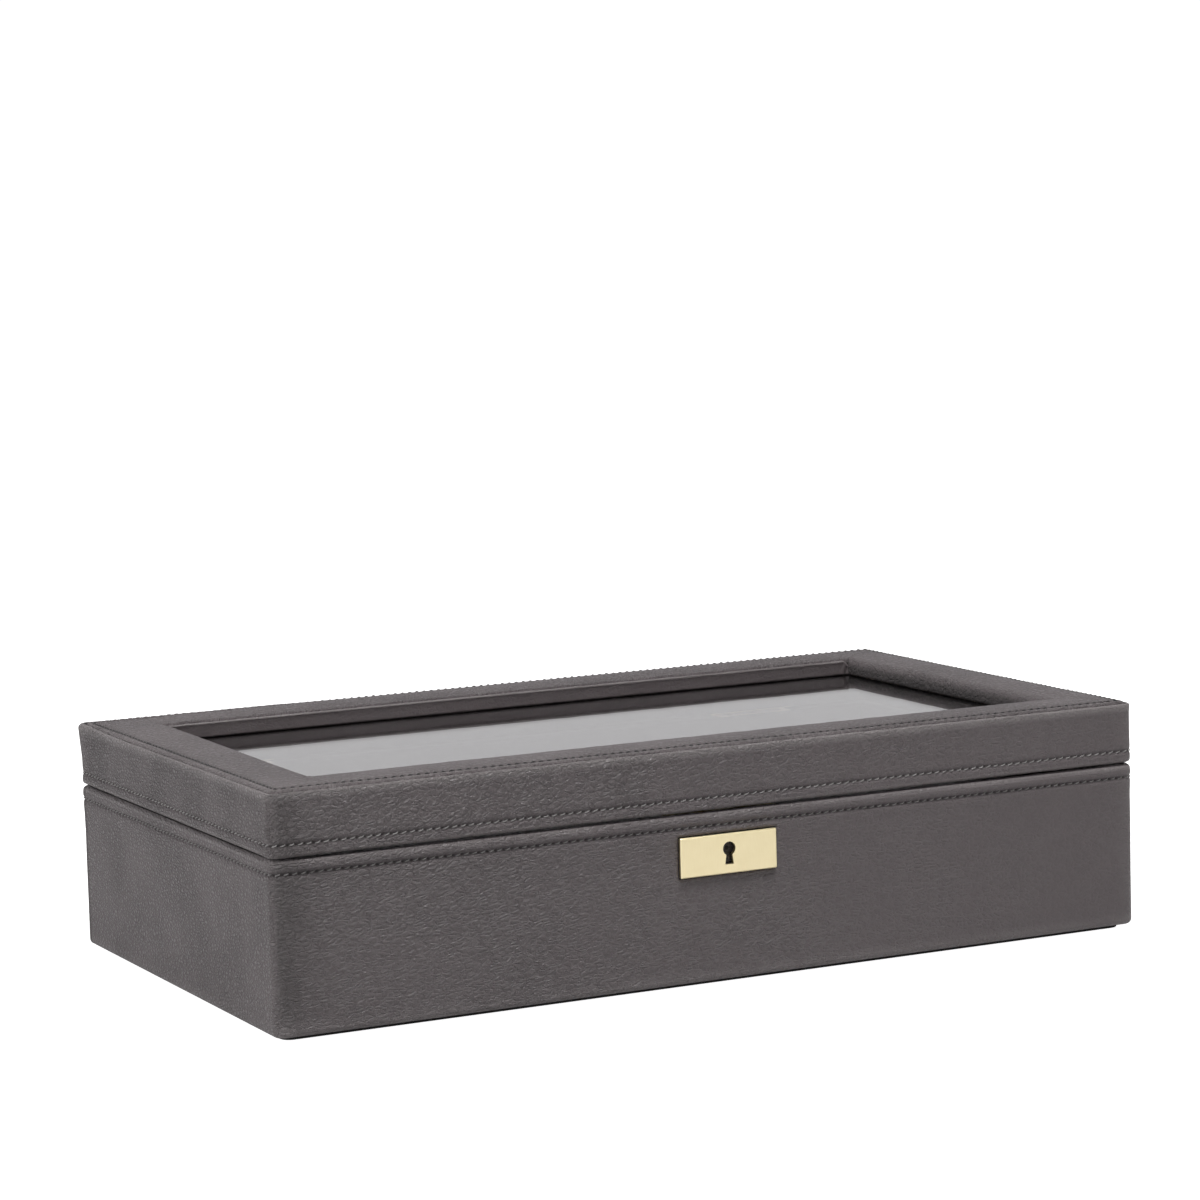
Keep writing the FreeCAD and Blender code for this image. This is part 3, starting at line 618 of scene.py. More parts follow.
# wear_and_highlight: lighter rim, bottom edge and corners, rubbing plus painted highlight where these rounded edges
# catch the light
wear_and_highlight = np.where((o_ > -1.6) & (z_ > 59.2), 0.55, 0.0) * (0.75 + 0.35 * vnoise(X / 15, Y / 15, z_, 11))
wear_and_highlight = wear_and_highlight + np.where(outer & (z_ < 4.2), 0.45, 0) * (0.7 + 0.4 * vnoise(X / 17, Y / 17, z_, 12))
wear_and_highlight = wear_and_highlight + 0.35 * np.exp(-(corner / 5.0) ** 2) * outer
# painted shade: darker in the stitch holes and along the row, in the gap round the lock plate, in a strip by the front
# left corner, on the back left and front right corners, in a line near the back end of the left side, and on the
# underside
painted_shade = 0.85 * np.exp(-(d / 0.46) ** 2) * hole(phase, 0.17) * outer + 0.16 * np.exp(-(d / 0.6) ** 2) * outer
painted_shade = painted_shade + np.where(front & (o_ > -0.9), 0.9 * (1 - sstep(0.2, 0.6, near)), 0)
seg_c, t_c = seg[:, None], t[:, None]
corner_shade_strip = 0.50 * np.where(seg_c == 7, sstep(0.30, 0.72, t_c), np.where(front, np.exp(-(np.maximum(X + HX - R, 0) / 8.5) ** 1.3), 0))
corner_shade_strip = corner_shade_strip * outer * (1 + 0.25 * vnoise(X / 3, Y / 3, z_ / 9, 13))
painted_shade = painted_shade + corner_shade_strip * sstep(3, 9, z_)
back_edge_shade = np.where((seg == 5)[:, None], 0.75 * np.sin(np.pi * np.clip(t[:, None], 0, 1)) ** 0.5, 0)
right_edge_shade = np.where((seg == 1)[:, None], 0.55 * sstep(0.45, 0.9, t[:, None]), 0)
painted_shade = painted_shade + (back_edge_shade + right_edge_shade) * outer
painted_shade = painted_shade + np.where((seg == 6)[:, None], 0.85 * np.exp(-(np.maximum(HY - R - Y, 0) / 1.2) ** 2), 0) * outer
painted_shade = painted_shade + 0.6 * ((o_ < -3) & (z_ < 3))
float_attribute(case_skin, "wear_and_highlight", np.clip(np.broadcast_to(wear_and_highlight, h.shape), 0, 1))
float_attribute(case_skin, "painted_shade", np.clip(np.broadcast_to(painted_shade, h.shape), 0, 1))
bm = bmesh.new()
bm.from_mesh(case_skin.data)
bmesh.ops.dissolve_degenerate(bm, dist=2e-6, edges=bm.edges)
bm.to_mesh(case_skin.data)
bm.free()
dress(case_skin, M_CASE)
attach(case_skin, "case")
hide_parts("case_leather")

# ------------------------------------------------- the lid's side leather


def lid_spacing(o, z):
    if o > -0.6 and 62.4 < z < 68.2:
        return 0.36
    if o > -0.6 and z > 81.0:
        return 0.35
    if o > -0.6:
        return 2.4
    return 3.2


sect = contour([(-9.15, 62.36, 0.4), (-2.5, 62.36, 0.3), (-1.9, 61.90, 0.7), (0.0, 61.90, 1.0), (0.0, LEDGE, 0.55),
                (-1.22, LEDGE, 0.5), (-1.22, 63.25), (-9.15, 63.25)], lid_spacing)
o_, z_ = sect[None, :, 0], sect[None, :, 1]
outer = (o_ > -1.0)
d = z_ - LID_ROW
h = np.zeros((len(seg), sect.shape[0]))
h += -0.30 * np.exp(-(d / 0.75) ** 2)
h += -0.42 * np.exp(-(d / 0.48) ** 2) * hole(phase + 0.25, 0.15)
band = np.clip((LID_ROW - 0.3 - z_) / (LID_ROW - 0.3 - 62.1), 0, 1)
h += 0.17 * np.sin(np.pi * band) ** 0.8 * (1 + 0.16 * vnoise(X / 24, Y / 24, z_ / 9, 23)) * (z_ < LID_ROW - 0.3)
h += 0.05 * np.exp(-((d + 1.1) / 0.7) ** 2) * -cosp(phase + 0.25)
h += 0.075 * np.exp(-((d - 1.15) / 0.75) ** 2) * -cosp(phase + 0.25)
h += 0.10 * np.exp(-((d - 2.8) / 2.0) ** 2)
h += 0.02 * vnoise(X / 30, Y / 30, z_ / 20, 25) * sstep(67, 70, z_) * (1 - sstep(79, 82, z_))
h += 0.03 * vnoise(X / 8, Y / 8, z_ / 7, 26)
# the folded edge stands a little proud, less evenly than a machine's
h += 0.16 * sstep(82.0, 82.9, z_) * (1 + 0.35 * vnoise(X / 6, Y / 6, z_ / 5, 27)) - 0.07 * np.exp(-((z_ - 81.9) / 0.5) ** 2)
h = np.where(outer, h, 0)
h = np.where((z_ < 62.4) & (o_ < -1.0), 0.05 * vnoise(X / 12, Y / 12, o_ / 4, 29), h)
h += 0.22 * np.exp(-(fl_corner / 7.0) ** 2) * ((z_ < 62.1) & (o_ > -2.2))
bl_corner = np.hypot(X + HX, Y - HY)
h += np.where(outer, 0.95 * sstep(68, 83, z_) * np.exp(-(bl_corner / 24.0) ** 2), 0)
h = np.where(hinge & (z_ < 64.1) & (o_ > -0.9), np.minimum(h, -1.15), h)
h = np.where(hinge & (z_ < 62.15) & (o_ <= -0.9), -0.44, h)
lid_skin, co = ring("lid_side_skin", sect, seg, t, h)
# wear_and_highlight: a full painted highlight along the folded top edge, and rubbing with some painted highlight on the
# bottom edge and corners
wear_and_highlight = np.where(outer & (z_ > 82.5), 1.0, 0.0) * (0.92 + 0.14 * vnoise(X / 9, Y / 9, z_, 31))
wear_and_highlight = wear_and_highlight + np.where(outer & (z_ < 63.6), 0.45, 0) * (0.7 + 0.4 * vnoise(X / 15, Y / 15, z_, 32))
wear_and_highlight = wear_and_highlight + 0.30 * np.exp(-(corner / 5.0) ** 2) * outer
# painted shade: stitch holes and row, under the folded top edge, a strip by the front left corner, the back left and
# front right corners, and the right side's top edge
painted_shade = 0.70 * np.exp(-(d / 0.44) ** 2) * hole(phase + 0.25, 0.16) * outer + 0.12 * np.exp(-(d / 0.6) ** 2) * outer
painted_shade = painted_shade + 0.8 * ((o_ < -0.95) & (z_ > 82.6)) + 0.42 * np.where(seg_c == 7, sstep(0.30, 0.72, t_c), np.where(front, np.exp(-(np.maximum(X + HX - R, 0) / 7.5) ** 1.3), 0)) * outer
painted_shade = painted_shade + (back_edge_shade + right_edge_shade) * outer + np.where((seg == 2)[:, None] & (z_ > 82.7), 0.9, 0)
float_attribute(lid_skin, "wear_and_highlight", np.clip(np.broadcast_to(wear_and_highlight, h.shape), 0, 1))
float_attribute(lid_skin, "painted_shade", np.clip(np.broadcast_to(painted_shade, h.shape), 0, 1))
dress(lid_skin, M_LID)
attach(lid_skin, "lid")
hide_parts("lid_side_leather")

# --------------------------------------- the padded frame round the window


def quarter(cx, cz, a, b, n, start, end):
    ang = np.linspace(math.radians(start), math.radians(end), n)
    return [(cx + a * math.cos(k), cz + b * math.sin(k)) for k in ang]


def frame_section(roll_start, a, b, foot):
    """Section of the padded leather: outer roll, flat, inner roll of the given size, flat underside."""
    pts = [(-2.2, 82.27), (-1.38, 82.27), (-1.38, 82.8)]
    pts += quarter(-4.3, 83.15, 2.92, 1.36, 10, 8, 90)[:-1]
    pts = [q for q in pts if not (q[0] < -2.9 and q[1] > 84.2)]
    pts += [(o, 84.51 - 0.09 * max(0.0, (o + 4.3)) ** 2) for o in np.arange(-2.95, -5.5, -0.17)]
    pts += [(o, 84.51) for o in np.arange(-5.6, -6.5, -0.4)]
    pts += [(o, 84.51) for o in np.linspace(-6.6, roll_start, 9)]
    pts += quarter(roll_start, 84.51 - b, a, b, 16, 90, 180)[1:]
    pts += foot
    pts += [(-21.5, 82.27), (-16, 82.27), (-9, 82.27)]
    return np.array(pts)


RMIN = 1.7
seg, t, s, pitch_t, n_t = samples(TOP_ROW, 5, 3.03, RMIN, 12)
phase = (s / pitch_t)[:, None]
F = frame_section(-21.3, 2.25, 1.5, [(-23.5, 82.6), (-23.45, 82.27)])
FL = frame_section(-22.5, 1.45, 1.5, [(-23.9, 82.6), (-23.5, 82.27)])
FR = frame_section(-18.5, 6.45, 5.85, [(-24.6, 78.3), (-23.75, 78.8)])
FR[-3] = (-23.7, 82.27)
x0, y0 = place(seg, t, 0.0)
X, Y = x0[:, None], y0[:, None]


def side_weight(side):
    w = np.where(seg == side, 1.0, 0.0)
    w = np.where(seg == side - 1, t, w)
    return np.where(seg == side + 1, 1 - t, w)[:, None]


wr, wl, wb, wf = side_weight(2), side_weight(6), side_weight(4), 1 - side_weight(2) - side_weight(4) - side_weight(6)
sect = F[None] * (1 - wr - wl)[..., None] + FR[None] * wr[..., None] + FL[None] * wl[..., None]
o_, z_ = sect[..., 0], sect[..., 1]
top = (z_ > 82.65) | ((wr > 0.5) & (o_ < -21.6) & (z_ > 78.5) & (np.arange(sect.shape[1])[None] < sect.shape[1] - 5))
flat = (z_ > 84.2)
edge_run = np.where(seg % 4 == 0, np.minimum(t, 1 - t) * 2 * (HX + TOP_ROW - 1),
                    np.where(seg % 4 == 2, np.minimum(t, 1 - t) * 2 * (HY + TOP_ROW - 1), 0.0))
ends = np.where(X < 0, 62.0, 30.0)
crown = 0.20 + 0.42 * sstep(0, 1, edge_run[:, None] / ends)
inner_lim = -21.3 * (1 - wr - wl) - 22.5 * wl - 18.5 * wr
u = np.clip((-4.3 - o_) / (-4.3 - inner_lim), 0, 1)
bow = np.sqrt(np.clip(1 - (2 * np.clip(u, 0, 0.5) - 1) ** 2, 0, 1))
hump = np.where(u < 0.5, 1 - (2 * u - 1) ** 2, 1 - (2 * u - 1) ** 2)
tilt = np.where(wl > 0, np.interp(Y, [-75, 0, 55, 75], [-0.05, 0.45, 0.72, 0.70]), 0) * wl
dz_crown = crown * hump * (u > 0) * (u < 1) * (1 - 0.35 * wl) + tilt * sstep(0, 1, u)
d = o_ - TOP_ROW
# how hard the stitches pull: much at the back left, a little elsewhere
pull = 0.13 + 0.05 * vnoise(X / 30, Y / 30, 0, 40)
pull = pull + wb * (1.05 * sstep(-62, -96, X) * (0.75 + 0.25 * sstep(-168, -150, X)) + 0.40 * np.exp(-((X - 116) / 13) ** 2))
scallop = np.abs(np.sin(np.pi * phase)) ** 0.8 - 0.62
h = -0.62 * np.exp(-(d / 0.40) ** 2) * (1 - 0.95 * hole(phase, 0.22)) - 0.06 * np.exp(-(d / 0.9) ** 2)
h = h + pull * scallop * (np.exp(-((d - 1.15) / 0.85) ** 2) + 0.9 * np.exp(-((d + 1.3) / 1.0) ** 2)) * (1 + 0.3 * vnoise(X / 5, Y / 5, 0, 41))
h = h + 0.10 * np.exp(-((d + 2.6) / 1.6) ** 2)
h = h * sstep(83.2, 84.1, z_)
h = h + 0.06 * vnoise(X / 26, Y / 26, o_ / 18, 43) * flat
h = h + 0.045 * vnoise(X / 8, Y / 8, o_ / 7, 44) * flat
h = h + 0.02 * vnoise(X / 3.2, Y / 3.2, o_ / 2.6, 45) * flat
# folds where the leather turns into the window's corners
xi, yi = place(seg[:, None], t[:, None], o_, RMIN)
cdist = np.hypot(np.abs(xi) - (HX - 25), np.abs(yi) - (HY - 25))
cang = np.arctan2(np.abs(yi) - (HY - 25), np.abs(xi) - (HX - 25))
h = h - 0.22 * np.exp(-(cdist / 4.2) ** 2) * (0.5 + 0.5 * np.cos(cang * 13.0 + 1.3)) * (o_ < -17)
mitre = np.abs(np.abs(HX + o_) * 0 + (np.abs(xi) - (HX - 25)) - (np.abs(yi) - (HY - 25)))
h = h - 0.16 * np.exp(-(mitre / 0.55) ** 2) * sstep(16, 3, cdist) * (o_ < -12)
h = h + 0.06 * vnoise(xi / 5, yi / 5, z_ / 4, 46) * (o_ < inner_lim)
h = np.where(top, h, 0)
sect2 = sect.copy()
sect2[..., 1] += np.where(z_ > 82.65, dz_crown, 0)
frame_skin, co = ring("frame_leather_skin", sect2, seg, t, h, rmin=RMIN)
# wear_and_highlight: the outer roll and the ridge inside the stitch row lighter, the whole flat top a little lighter:
# rubbing plus painted light on the upward faces
wear_and_highlight = np.where((o_ > -3.2) & top, 0.28, 0) * (0.8 + 0.4 * vnoise(X / 9, Y / 9, o_, 47)) + 0.10 * flat
wear_and_highlight = wear_and_highlight + 0.25 * np.exp(-((d - 1.1) / 0.5) ** 2) * flat
# painted shade: the stitch groove, under the outer and inner edges, the mitre folds at the window's corners, and the
# right rim's roll falling into shade
painted_shade = 1.2 * np.exp(-(d / 0.44) ** 2) * (1 - 0.95 * hole(phase, 0.20)) * flat
painted_shade = painted_shade + 0.9 * (o_ > -1.5) * (z_ < 83.2) + 0.8 * (z_ < 83.25) * (o_ < -22.5) * (1 - wr)
painted_shade = painted_shade + 0.55 * np.exp(-(mitre / 0.5) ** 2) * sstep(8, 1, cdist) * (o_ < -16) + 0.95 * wr * sstep(84.3, 80.6, z_) * (o_ < -18)
painted_shade = painted_shade + 0.55 * wr * (o_ > -2.4) * sstep(84.3, 83.6, z_)
float_attribute(frame_skin, "wear_and_highlight", np.clip(wear_and_highlight, 0, 1))
float_attribute(frame_skin, "painted_shade", np.clip(painted_shade, 0, 1))
dress(frame_skin, M_TOP)
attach(frame_skin, "lid")
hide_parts("frame_leather", "frame_padding")


def window_section(low):
    """Section of the wall down to the glass, with a folded bead on top; low hides under the right roll."""
    pts = [(-23.66, 78.04), (-24.3, 78.04), (-24.72, 78.10), (-24.95, 78.32), (-25.02, 78.8), (-25.0, 79.5), (-24.96, 80.2)]
    if low:
        pts = [(o + 0.75 if o < -23.7 else o, z) for o, z in pts]
        pts += [(-24.1, 80.4), (-24.1, 80.5), (-24.1, 80.6), (-24.08, 80.7), (-24.05, 80.76), (-24.0, 80.8), (-23.97, 80.82),
                (-23.93, 80.84), (-23.9, 80.84), (-23.86, 80.82), (-23.8, 80.76), (-23.74, 80.6), (-23.7, 80.2), (-23.66, 79.9)]
    else:
        pts += [(-24.96, 81.0), (-24.97, 81.7), (-24.99, 82.3), (-25.06, 82.8), (-25.14, 83.1), (-25.16, 83.35),
                (-25.06, 83.62), (-24.85, 83.80), (-24.58, 83.84), (-24.32, 83.72), (-24.14, 83.5), (-24.04, 83.2),
                (-23.98, 82.8), (-23.9, 82.4)]
    return np.array(pts)[::-1]


RW = 1.5
hx, hy = HX - 25, HY - 25
segw, tw, start = [], [], 0.0
for i, ln in enumerate(segments(hx, hy, RW)):
    k = int(round(ln / 0.62)) if i % 2 == 0 else 8
    segw += [i] * k
    tw += list((np.arange(k) + 0.5) / k)
segw, tw = np.array(segw), np.array(tw)
shortw = np.where(segw == 2, 1.0, np.where(segw == 1, tw, np.where(segw == 3, 1 - tw, 0.0)))
Aw, Bw = window_section(False), window_section(True)
sectw = Aw[None] * (1 - shortw[:, None, None]) + Bw[None] * shortw[:, None, None]
xw, yw = place(segw[:, None], tw[:, None], sectw[..., 0], RW)
hw = 0.05 * vnoise(xw / 11, yw / 11, sectw[..., 1] / 3, 51) + 0.035 * vnoise(xw / 3.5, yw / 3.5, sectw[..., 1] / 2, 52)
cw = np.hypot(np.abs(xw) - hx, np.abs(yw) - hy)
hw = hw + 0.20 * np.exp(-(cw / 2.8) ** 2) * np.cos(cw * 2.1 + sectw[..., 1] * 0.9)
visible = sectw[..., 0] < -24.3
hw = np.where(visible & (sectw[..., 1] > 78.1), hw, 0)
window_skin, cow = ring("window_leather_skin", sectw, segw, tw, hw, rmin=RW)
# painted highlight on the top of the folded bead
bead_highlight_w = np.where((sectw[..., 1] > 83.2) & (sectw[..., 0] < -24.2), 0.8, 0) * (0.8 + 0.3 * vnoise(xw / 7, yw / 7, 0, 53))
# painted shade: a dark line where the wall meets the glass, and the bead's hidden back
painted_shade_w = 0.9 * (1 - sstep(78.15, 78.7, sectw[..., 1])) + 0.9 * (sectw[..., 0] > -24.2) * (sectw[..., 1] > 82)
float_attribute(window_skin, "wear_and_highlight", np.clip(bead_highlight_w, 0, 1))
float_attribute(window_skin, "painted_shade", np.clip(painted_shade_w, 0, 1))
dress(window_skin, M_WALL)
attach(window_skin, "lid")
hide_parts("window_leather")

# ------------------------------------------------------------ the stitches


def stitches(name, row_offset, n, pitch, kind, z_row, mat, body, shift=0.0, radius=0.20, slant=0.32, lift=0.0, seed=0, rmin=0.3,
             span=0.64):
    """n separate stitches along a row: kind side lies on the upright face, top on the lid's top."""
    hx, hy, r = HX + row_offset, HY + row_offset, max(R + row_offset, rmin)
    K, M = 9, 8
    u = np.linspace(-0.5, 0.5, K)
    idx = np.arange(n)
    jit = hash3(idx, idx * 0 + 3, idx * 0 + seed, 7)
    jit2 = hash3(idx, idx * 0 + 9, idx * 0 + seed, 5)
    length = pitch * span * (1 + 0.05 * jit)
    s_c = (idx + 0.5 - shift) * pitch
    ss = s_c[:, None] + u[None] * length[:, None]
    sg, tt = locate(ss, hx, hy, r)
    nx, ny = outward(sg, tt)
    arch = 1 - (2 * np.abs(u)) ** 2.4
    depth = (-0.46 + 0.62 * arch)[None] * (1 + 0.12 * jit2[:, None]) + lift
    lateral = (slant * 2 * u)[None] * (1 + 0.25 * jit[:, None]) + 0.05 * jit2[:, None]
    rad = radius * (0.62 + 0.38 * np.sqrt(np.clip(1 - (2 * np.abs(u)) ** 3, 0, 1)))[None] * (1 + 0.06 * jit2[:, None])
    if kind == "side":
        px, py = place(sg, tt, row_offset, rmin)
        cx, cy, cz = px + nx * depth, py + ny * depth, z_row + lateral
        across = np.stack([nx * 0, ny * 0, nx * 0 + 1], 2)
        up = np.stack([nx, ny, nx * 0], 2)
    else:
        px, py = place(sg, tt, row_offset, rmin)
        cx, cy, cz = px + nx * lateral, py + ny * lateral, z_row + depth
        across = np.stack([nx, ny, nx * 0], 2)
        up = np.stack([nx * 0, ny * 0, nx * 0 + 1], 2)
    c = np.stack([cx, cy, cz], 2)
    a = np.arange(M) * 2 * np.pi / M
    rings = c[:, :, None, :] + rad[..., None, None] * (np.cos(a)[None, None, :, None] * across[:, :, None, :] * 1.05
                                                      + np.sin(a)[None, None, :, None] * up[:, :, None, :] * 0.85)
    verts = rings.reshape(n, K * M, 3)
    caps = np.stack([c[:, 0], c[:, -1]], 1)
    verts = np.concatenate([verts, caps], 1)
    V = K * M + 2
    f = []
    for k in range(K - 1):
        for m in range(M):
            f.append((k * M + m, k * M + (m + 1) % M, (k + 1) * M + (m + 1) % M, (k + 1) * M + m))
    quads = np.array(f)
    tris = [(K * M, (m + 1) % M, m) for m in range(M)] + \
           [(K * M + 1, (K - 1) * M + m, (K - 1) * M + (m + 1) % M) for m in range(M)]
    tris = np.array(tris)
    allq = (quads[None] + (np.arange(n) * V)[:, None, None]).reshape(-1, 4).tolist()
    allt = (tris[None] + (np.arange(n) * V)[:, None, None]).reshape(-1, 3).tolist()
    ob = mesh_object(name, verts.reshape(-1, 3), allq + allt)
    me = ob.data
    uv = me.uv_layers.new(name="UVMap")
    vi = np.zeros(len(me.loops), np.int32)
    me.loops.foreach_get("vertex_index", vi)
    local = vi % V
    k = np.where(local < K * M, local // M, np.where(local == K * M, 0, K - 1))
    m = np.where(local < K * M, local % M, 0)
    uvs = np.stack([k / (K - 1) * 1.0, m / M], 1)
    uv.data.foreach_set("uv", uvs.astype(np.float32).ravel())
    bm = bmesh.new()
    bm.from_mesh(me)
    bmesh.ops.recalc_face_normals(bm, faces=bm.faces)
    bm.to_mesh(me)
    bm.free()
    dress(ob, mat)
    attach(ob, body)
    return ob


stitches("case_stitching", 0.0, n_c, pitch_c, "side", CASE_ROW, M_THREAD_CASE, "case", lift=-0.06, seed=1)
stitches("lid_side_stitching", 0.0, n_c, pitch_c, "side", LID_ROW, M_THREAD, "lid", shift=0.25, lift=-0.06, seed=2)
stitches("lid_top_stitching", TOP_ROW, n_t, pitch_t, "top", 84.51, M_THREAD_TOP_SHADED, "lid", radius=0.36, slant=0.14,
         lift=-0.12, seed=3, rmin=RMIN, span=0.62)

# ------------------------------------------------------------ watch cushions


def cushion_mesh():
    """A stuffed roll: two end panels and a wrap, blown up as cloth, seams added after."""
    bm = bmesh.new()
    nx_, ny_, nz_ = 14, 20, 12
    ax_, ay_, az_ = 24.5, 34.5, 18.0
    # a box grid, pulled to a soft oval section
    bmesh.ops.create_cube(bm, size=2.0)
    bmesh.ops.subdivide_edges(bm, edges=bm.edges[:], cuts=13, use_grid_fill=True)
    for v in bm.verts:
        x, y, z = v.co
        k = max(abs(y), abs(z))
        rr = math.hypot(y, z)
        if rr > 1e-6:
            # superellipse section, flatter than a circle
            th = math.atan2(z, y)
            e = 2.7
            sr = (abs(math.cos(th)) ** e + abs(math.sin(th)) ** e) ** (-1 / e)
            y, z = k * sr * math.cos(th), k * sr * math.sin(th)
        tight = 1 - 0.05 * abs(x) ** 6
        v.co = Vector((x * ax_ * 0.01, y * ay_ * 0.01 * tight, z * az_ * 0.01 * tight))
    me = bpy.data.meshes.new("cushion_sim")
    bm.to_mesh(me)
    bm.free()
    ob = bpy.data.objects.new("cushion_sim", me)
    scene.collection.objects.link(ob)
    bpy.context.view_layer.objects.active = ob
    rm = ob.modifiers.new("Remesh", "REMESH")
    rm.mode = "VOXEL"
    rm.voxel_size = 0.026
    dg = bpy.context.evaluated_depsgraph_get()
    me2 = bpy.data.meshes.new_from_object(ob.evaluated_get(dg))
    ob.modifiers.clear()
    ob.data = me2
    rest = np.array([v.co for v in me2.vertices])
    pin = ob.vertex_groups.new(name="pin")
    # the two end seams hold their line
    rad = np.hypot(rest[:, 1] / (ay_ * 0.01), rest[:, 2] / (az_ * 0.01))
    for i, c in enumerate(rest):
        seam = math.exp(-((abs(c[0]) - ax_ * 0.01) / 0.020) ** 2) * float(rad[i] > 0.84)
        if seam > 0.35:
            pin.add([i], min(1.0, seam) * 0.92, "REPLACE")
    cl = ob.modifiers.new("Cloth", "CLOTH")
    cs = cl.settings
    cs.quality = 6
    cs.mass = 0.3
    cs.tension_stiffness = 12
    cs.compression_stiffness = 12
    cs.shear_stiffness = 5
    cs.bending_stiffness = 0.4
    cs.use_pressure = True
    cs.uniform_pressure_force = 4.5
    cs.vertex_group_mass = "pin"
    cs.effector_weights.gravity = 0
    cs.shrink_min = -0.05
    cl.point_cache.frame_start, cl.point_cache.frame_end = 1, 20
    for f in range(1, 21):
        scene.frame_set(f)
    dg = bpy.context.evaluated_depsgraph_get()
    me3 = bpy.data.meshes.new_from_object(ob.evaluated_get(dg))
    moved = np.array([v.co for v in me3.vertices])
    dv = moved - rest
    ln = np.linalg.norm(dv, axis=1, keepdims=True)
    cap = 0.055
    dv = dv * np.minimum(1, cap / (ln + 1e-9))
    new = rest + dv
    me3.vertices.foreach_set("co", new.astype(np.float32).ravel())
    ob.modifiers.clear()
    ob.data = me3
    scene.frame_set(1)
    sub = ob.modifiers.new("Subdivision", "SUBSURF")
    sub.levels = sub.render_levels = 1
    dg = bpy.context.evaluated_depsgraph_get()
    me4 = bpy.data.meshes.new_from_object(ob.evaluated_get(dg))
    ob.modifiers.clear()
    bpy.data.objects.remove(ob)
    co4 = np.array([v.co for v in me4.vertices]) * 100.0      # to mm
    return me4, co4, (ax_, ay_, az_)


cush_me, cush_co, (cax, cay, caz) = cushion_mesh()
# fit inside the CAD block, 54 x 75 x 42
lo, hi = cush_co.min(0), cush_co.max(0)
cush_co -= (lo + hi) / 2
size = hi - lo
cush_co *= np.minimum(np.array([53.6, 74.4, 41.6]) / size, 1.25)
LIM = np.abs(cush_co).max(0)
cush_faces = [tuple(p.vertices) for p in cush_me.polygons]


def seam_ring(co, sx):
    """The sewn edge of an end panel: the outermost points at x near the end, by angle."""
    n = 96
    pts = []
    ang = np.arctan2(co[:, 2] / LIM[2], co[:, 1] / LIM[1])
    for i in range(n):
        a = -math.pi + 2 * math.pi * i / n
        dd = np.abs((ang - a + math.pi) % (2 * math.pi) - math.pi)
        m = (dd < 0.12) & (np.abs(co[:, 0] * sx - (LIM[0] - 3.2)) < 1.8)
        if not m.any():
            m = (dd < 0.25) & (np.abs(co[:, 0] * sx - (LIM[0] - 3.2)) < 4)
        q = co[m]
        rr = np.hypot(q[:, 1], q[:, 2])
        pts.append(q[rr.argmax()])
    pts = np.array(pts)
    for _ in range(6):
        pts = (np.roll(pts, 1, 0) + 2 * pts + np.roll(pts, -1, 0)) / 4
    return pts


def tube_closed(pts, rad, M=8, twist=0.0):
    n = len(pts)
    tan = np.roll(pts, -1, 0) - np.roll(pts, 1, 0)
    tan /= np.linalg.norm(tan, axis=1)[:, None]
    ref = np.array([1.0, 0, 0])
    side = np.cross(tan, ref)
    side /= np.linalg.norm(side, axis=1)[:, None]
    up = np.cross(side, tan)
    a = np.arange(M) * 2 * np.pi / M
    v = pts[:, None] + rad * (np.cos(a)[None, :, None] * side[:, None] + np.sin(a)[None, :, None] * up[:, None])
    f = []
    for k in range(n):
        for m in range(M):
            f.append((k * M + m, ((k + 1) % n) * M + m, ((k + 1) % n) * M + (m + 1) % M, k * M + (m + 1) % M))
    return v.reshape(-1, 3), f


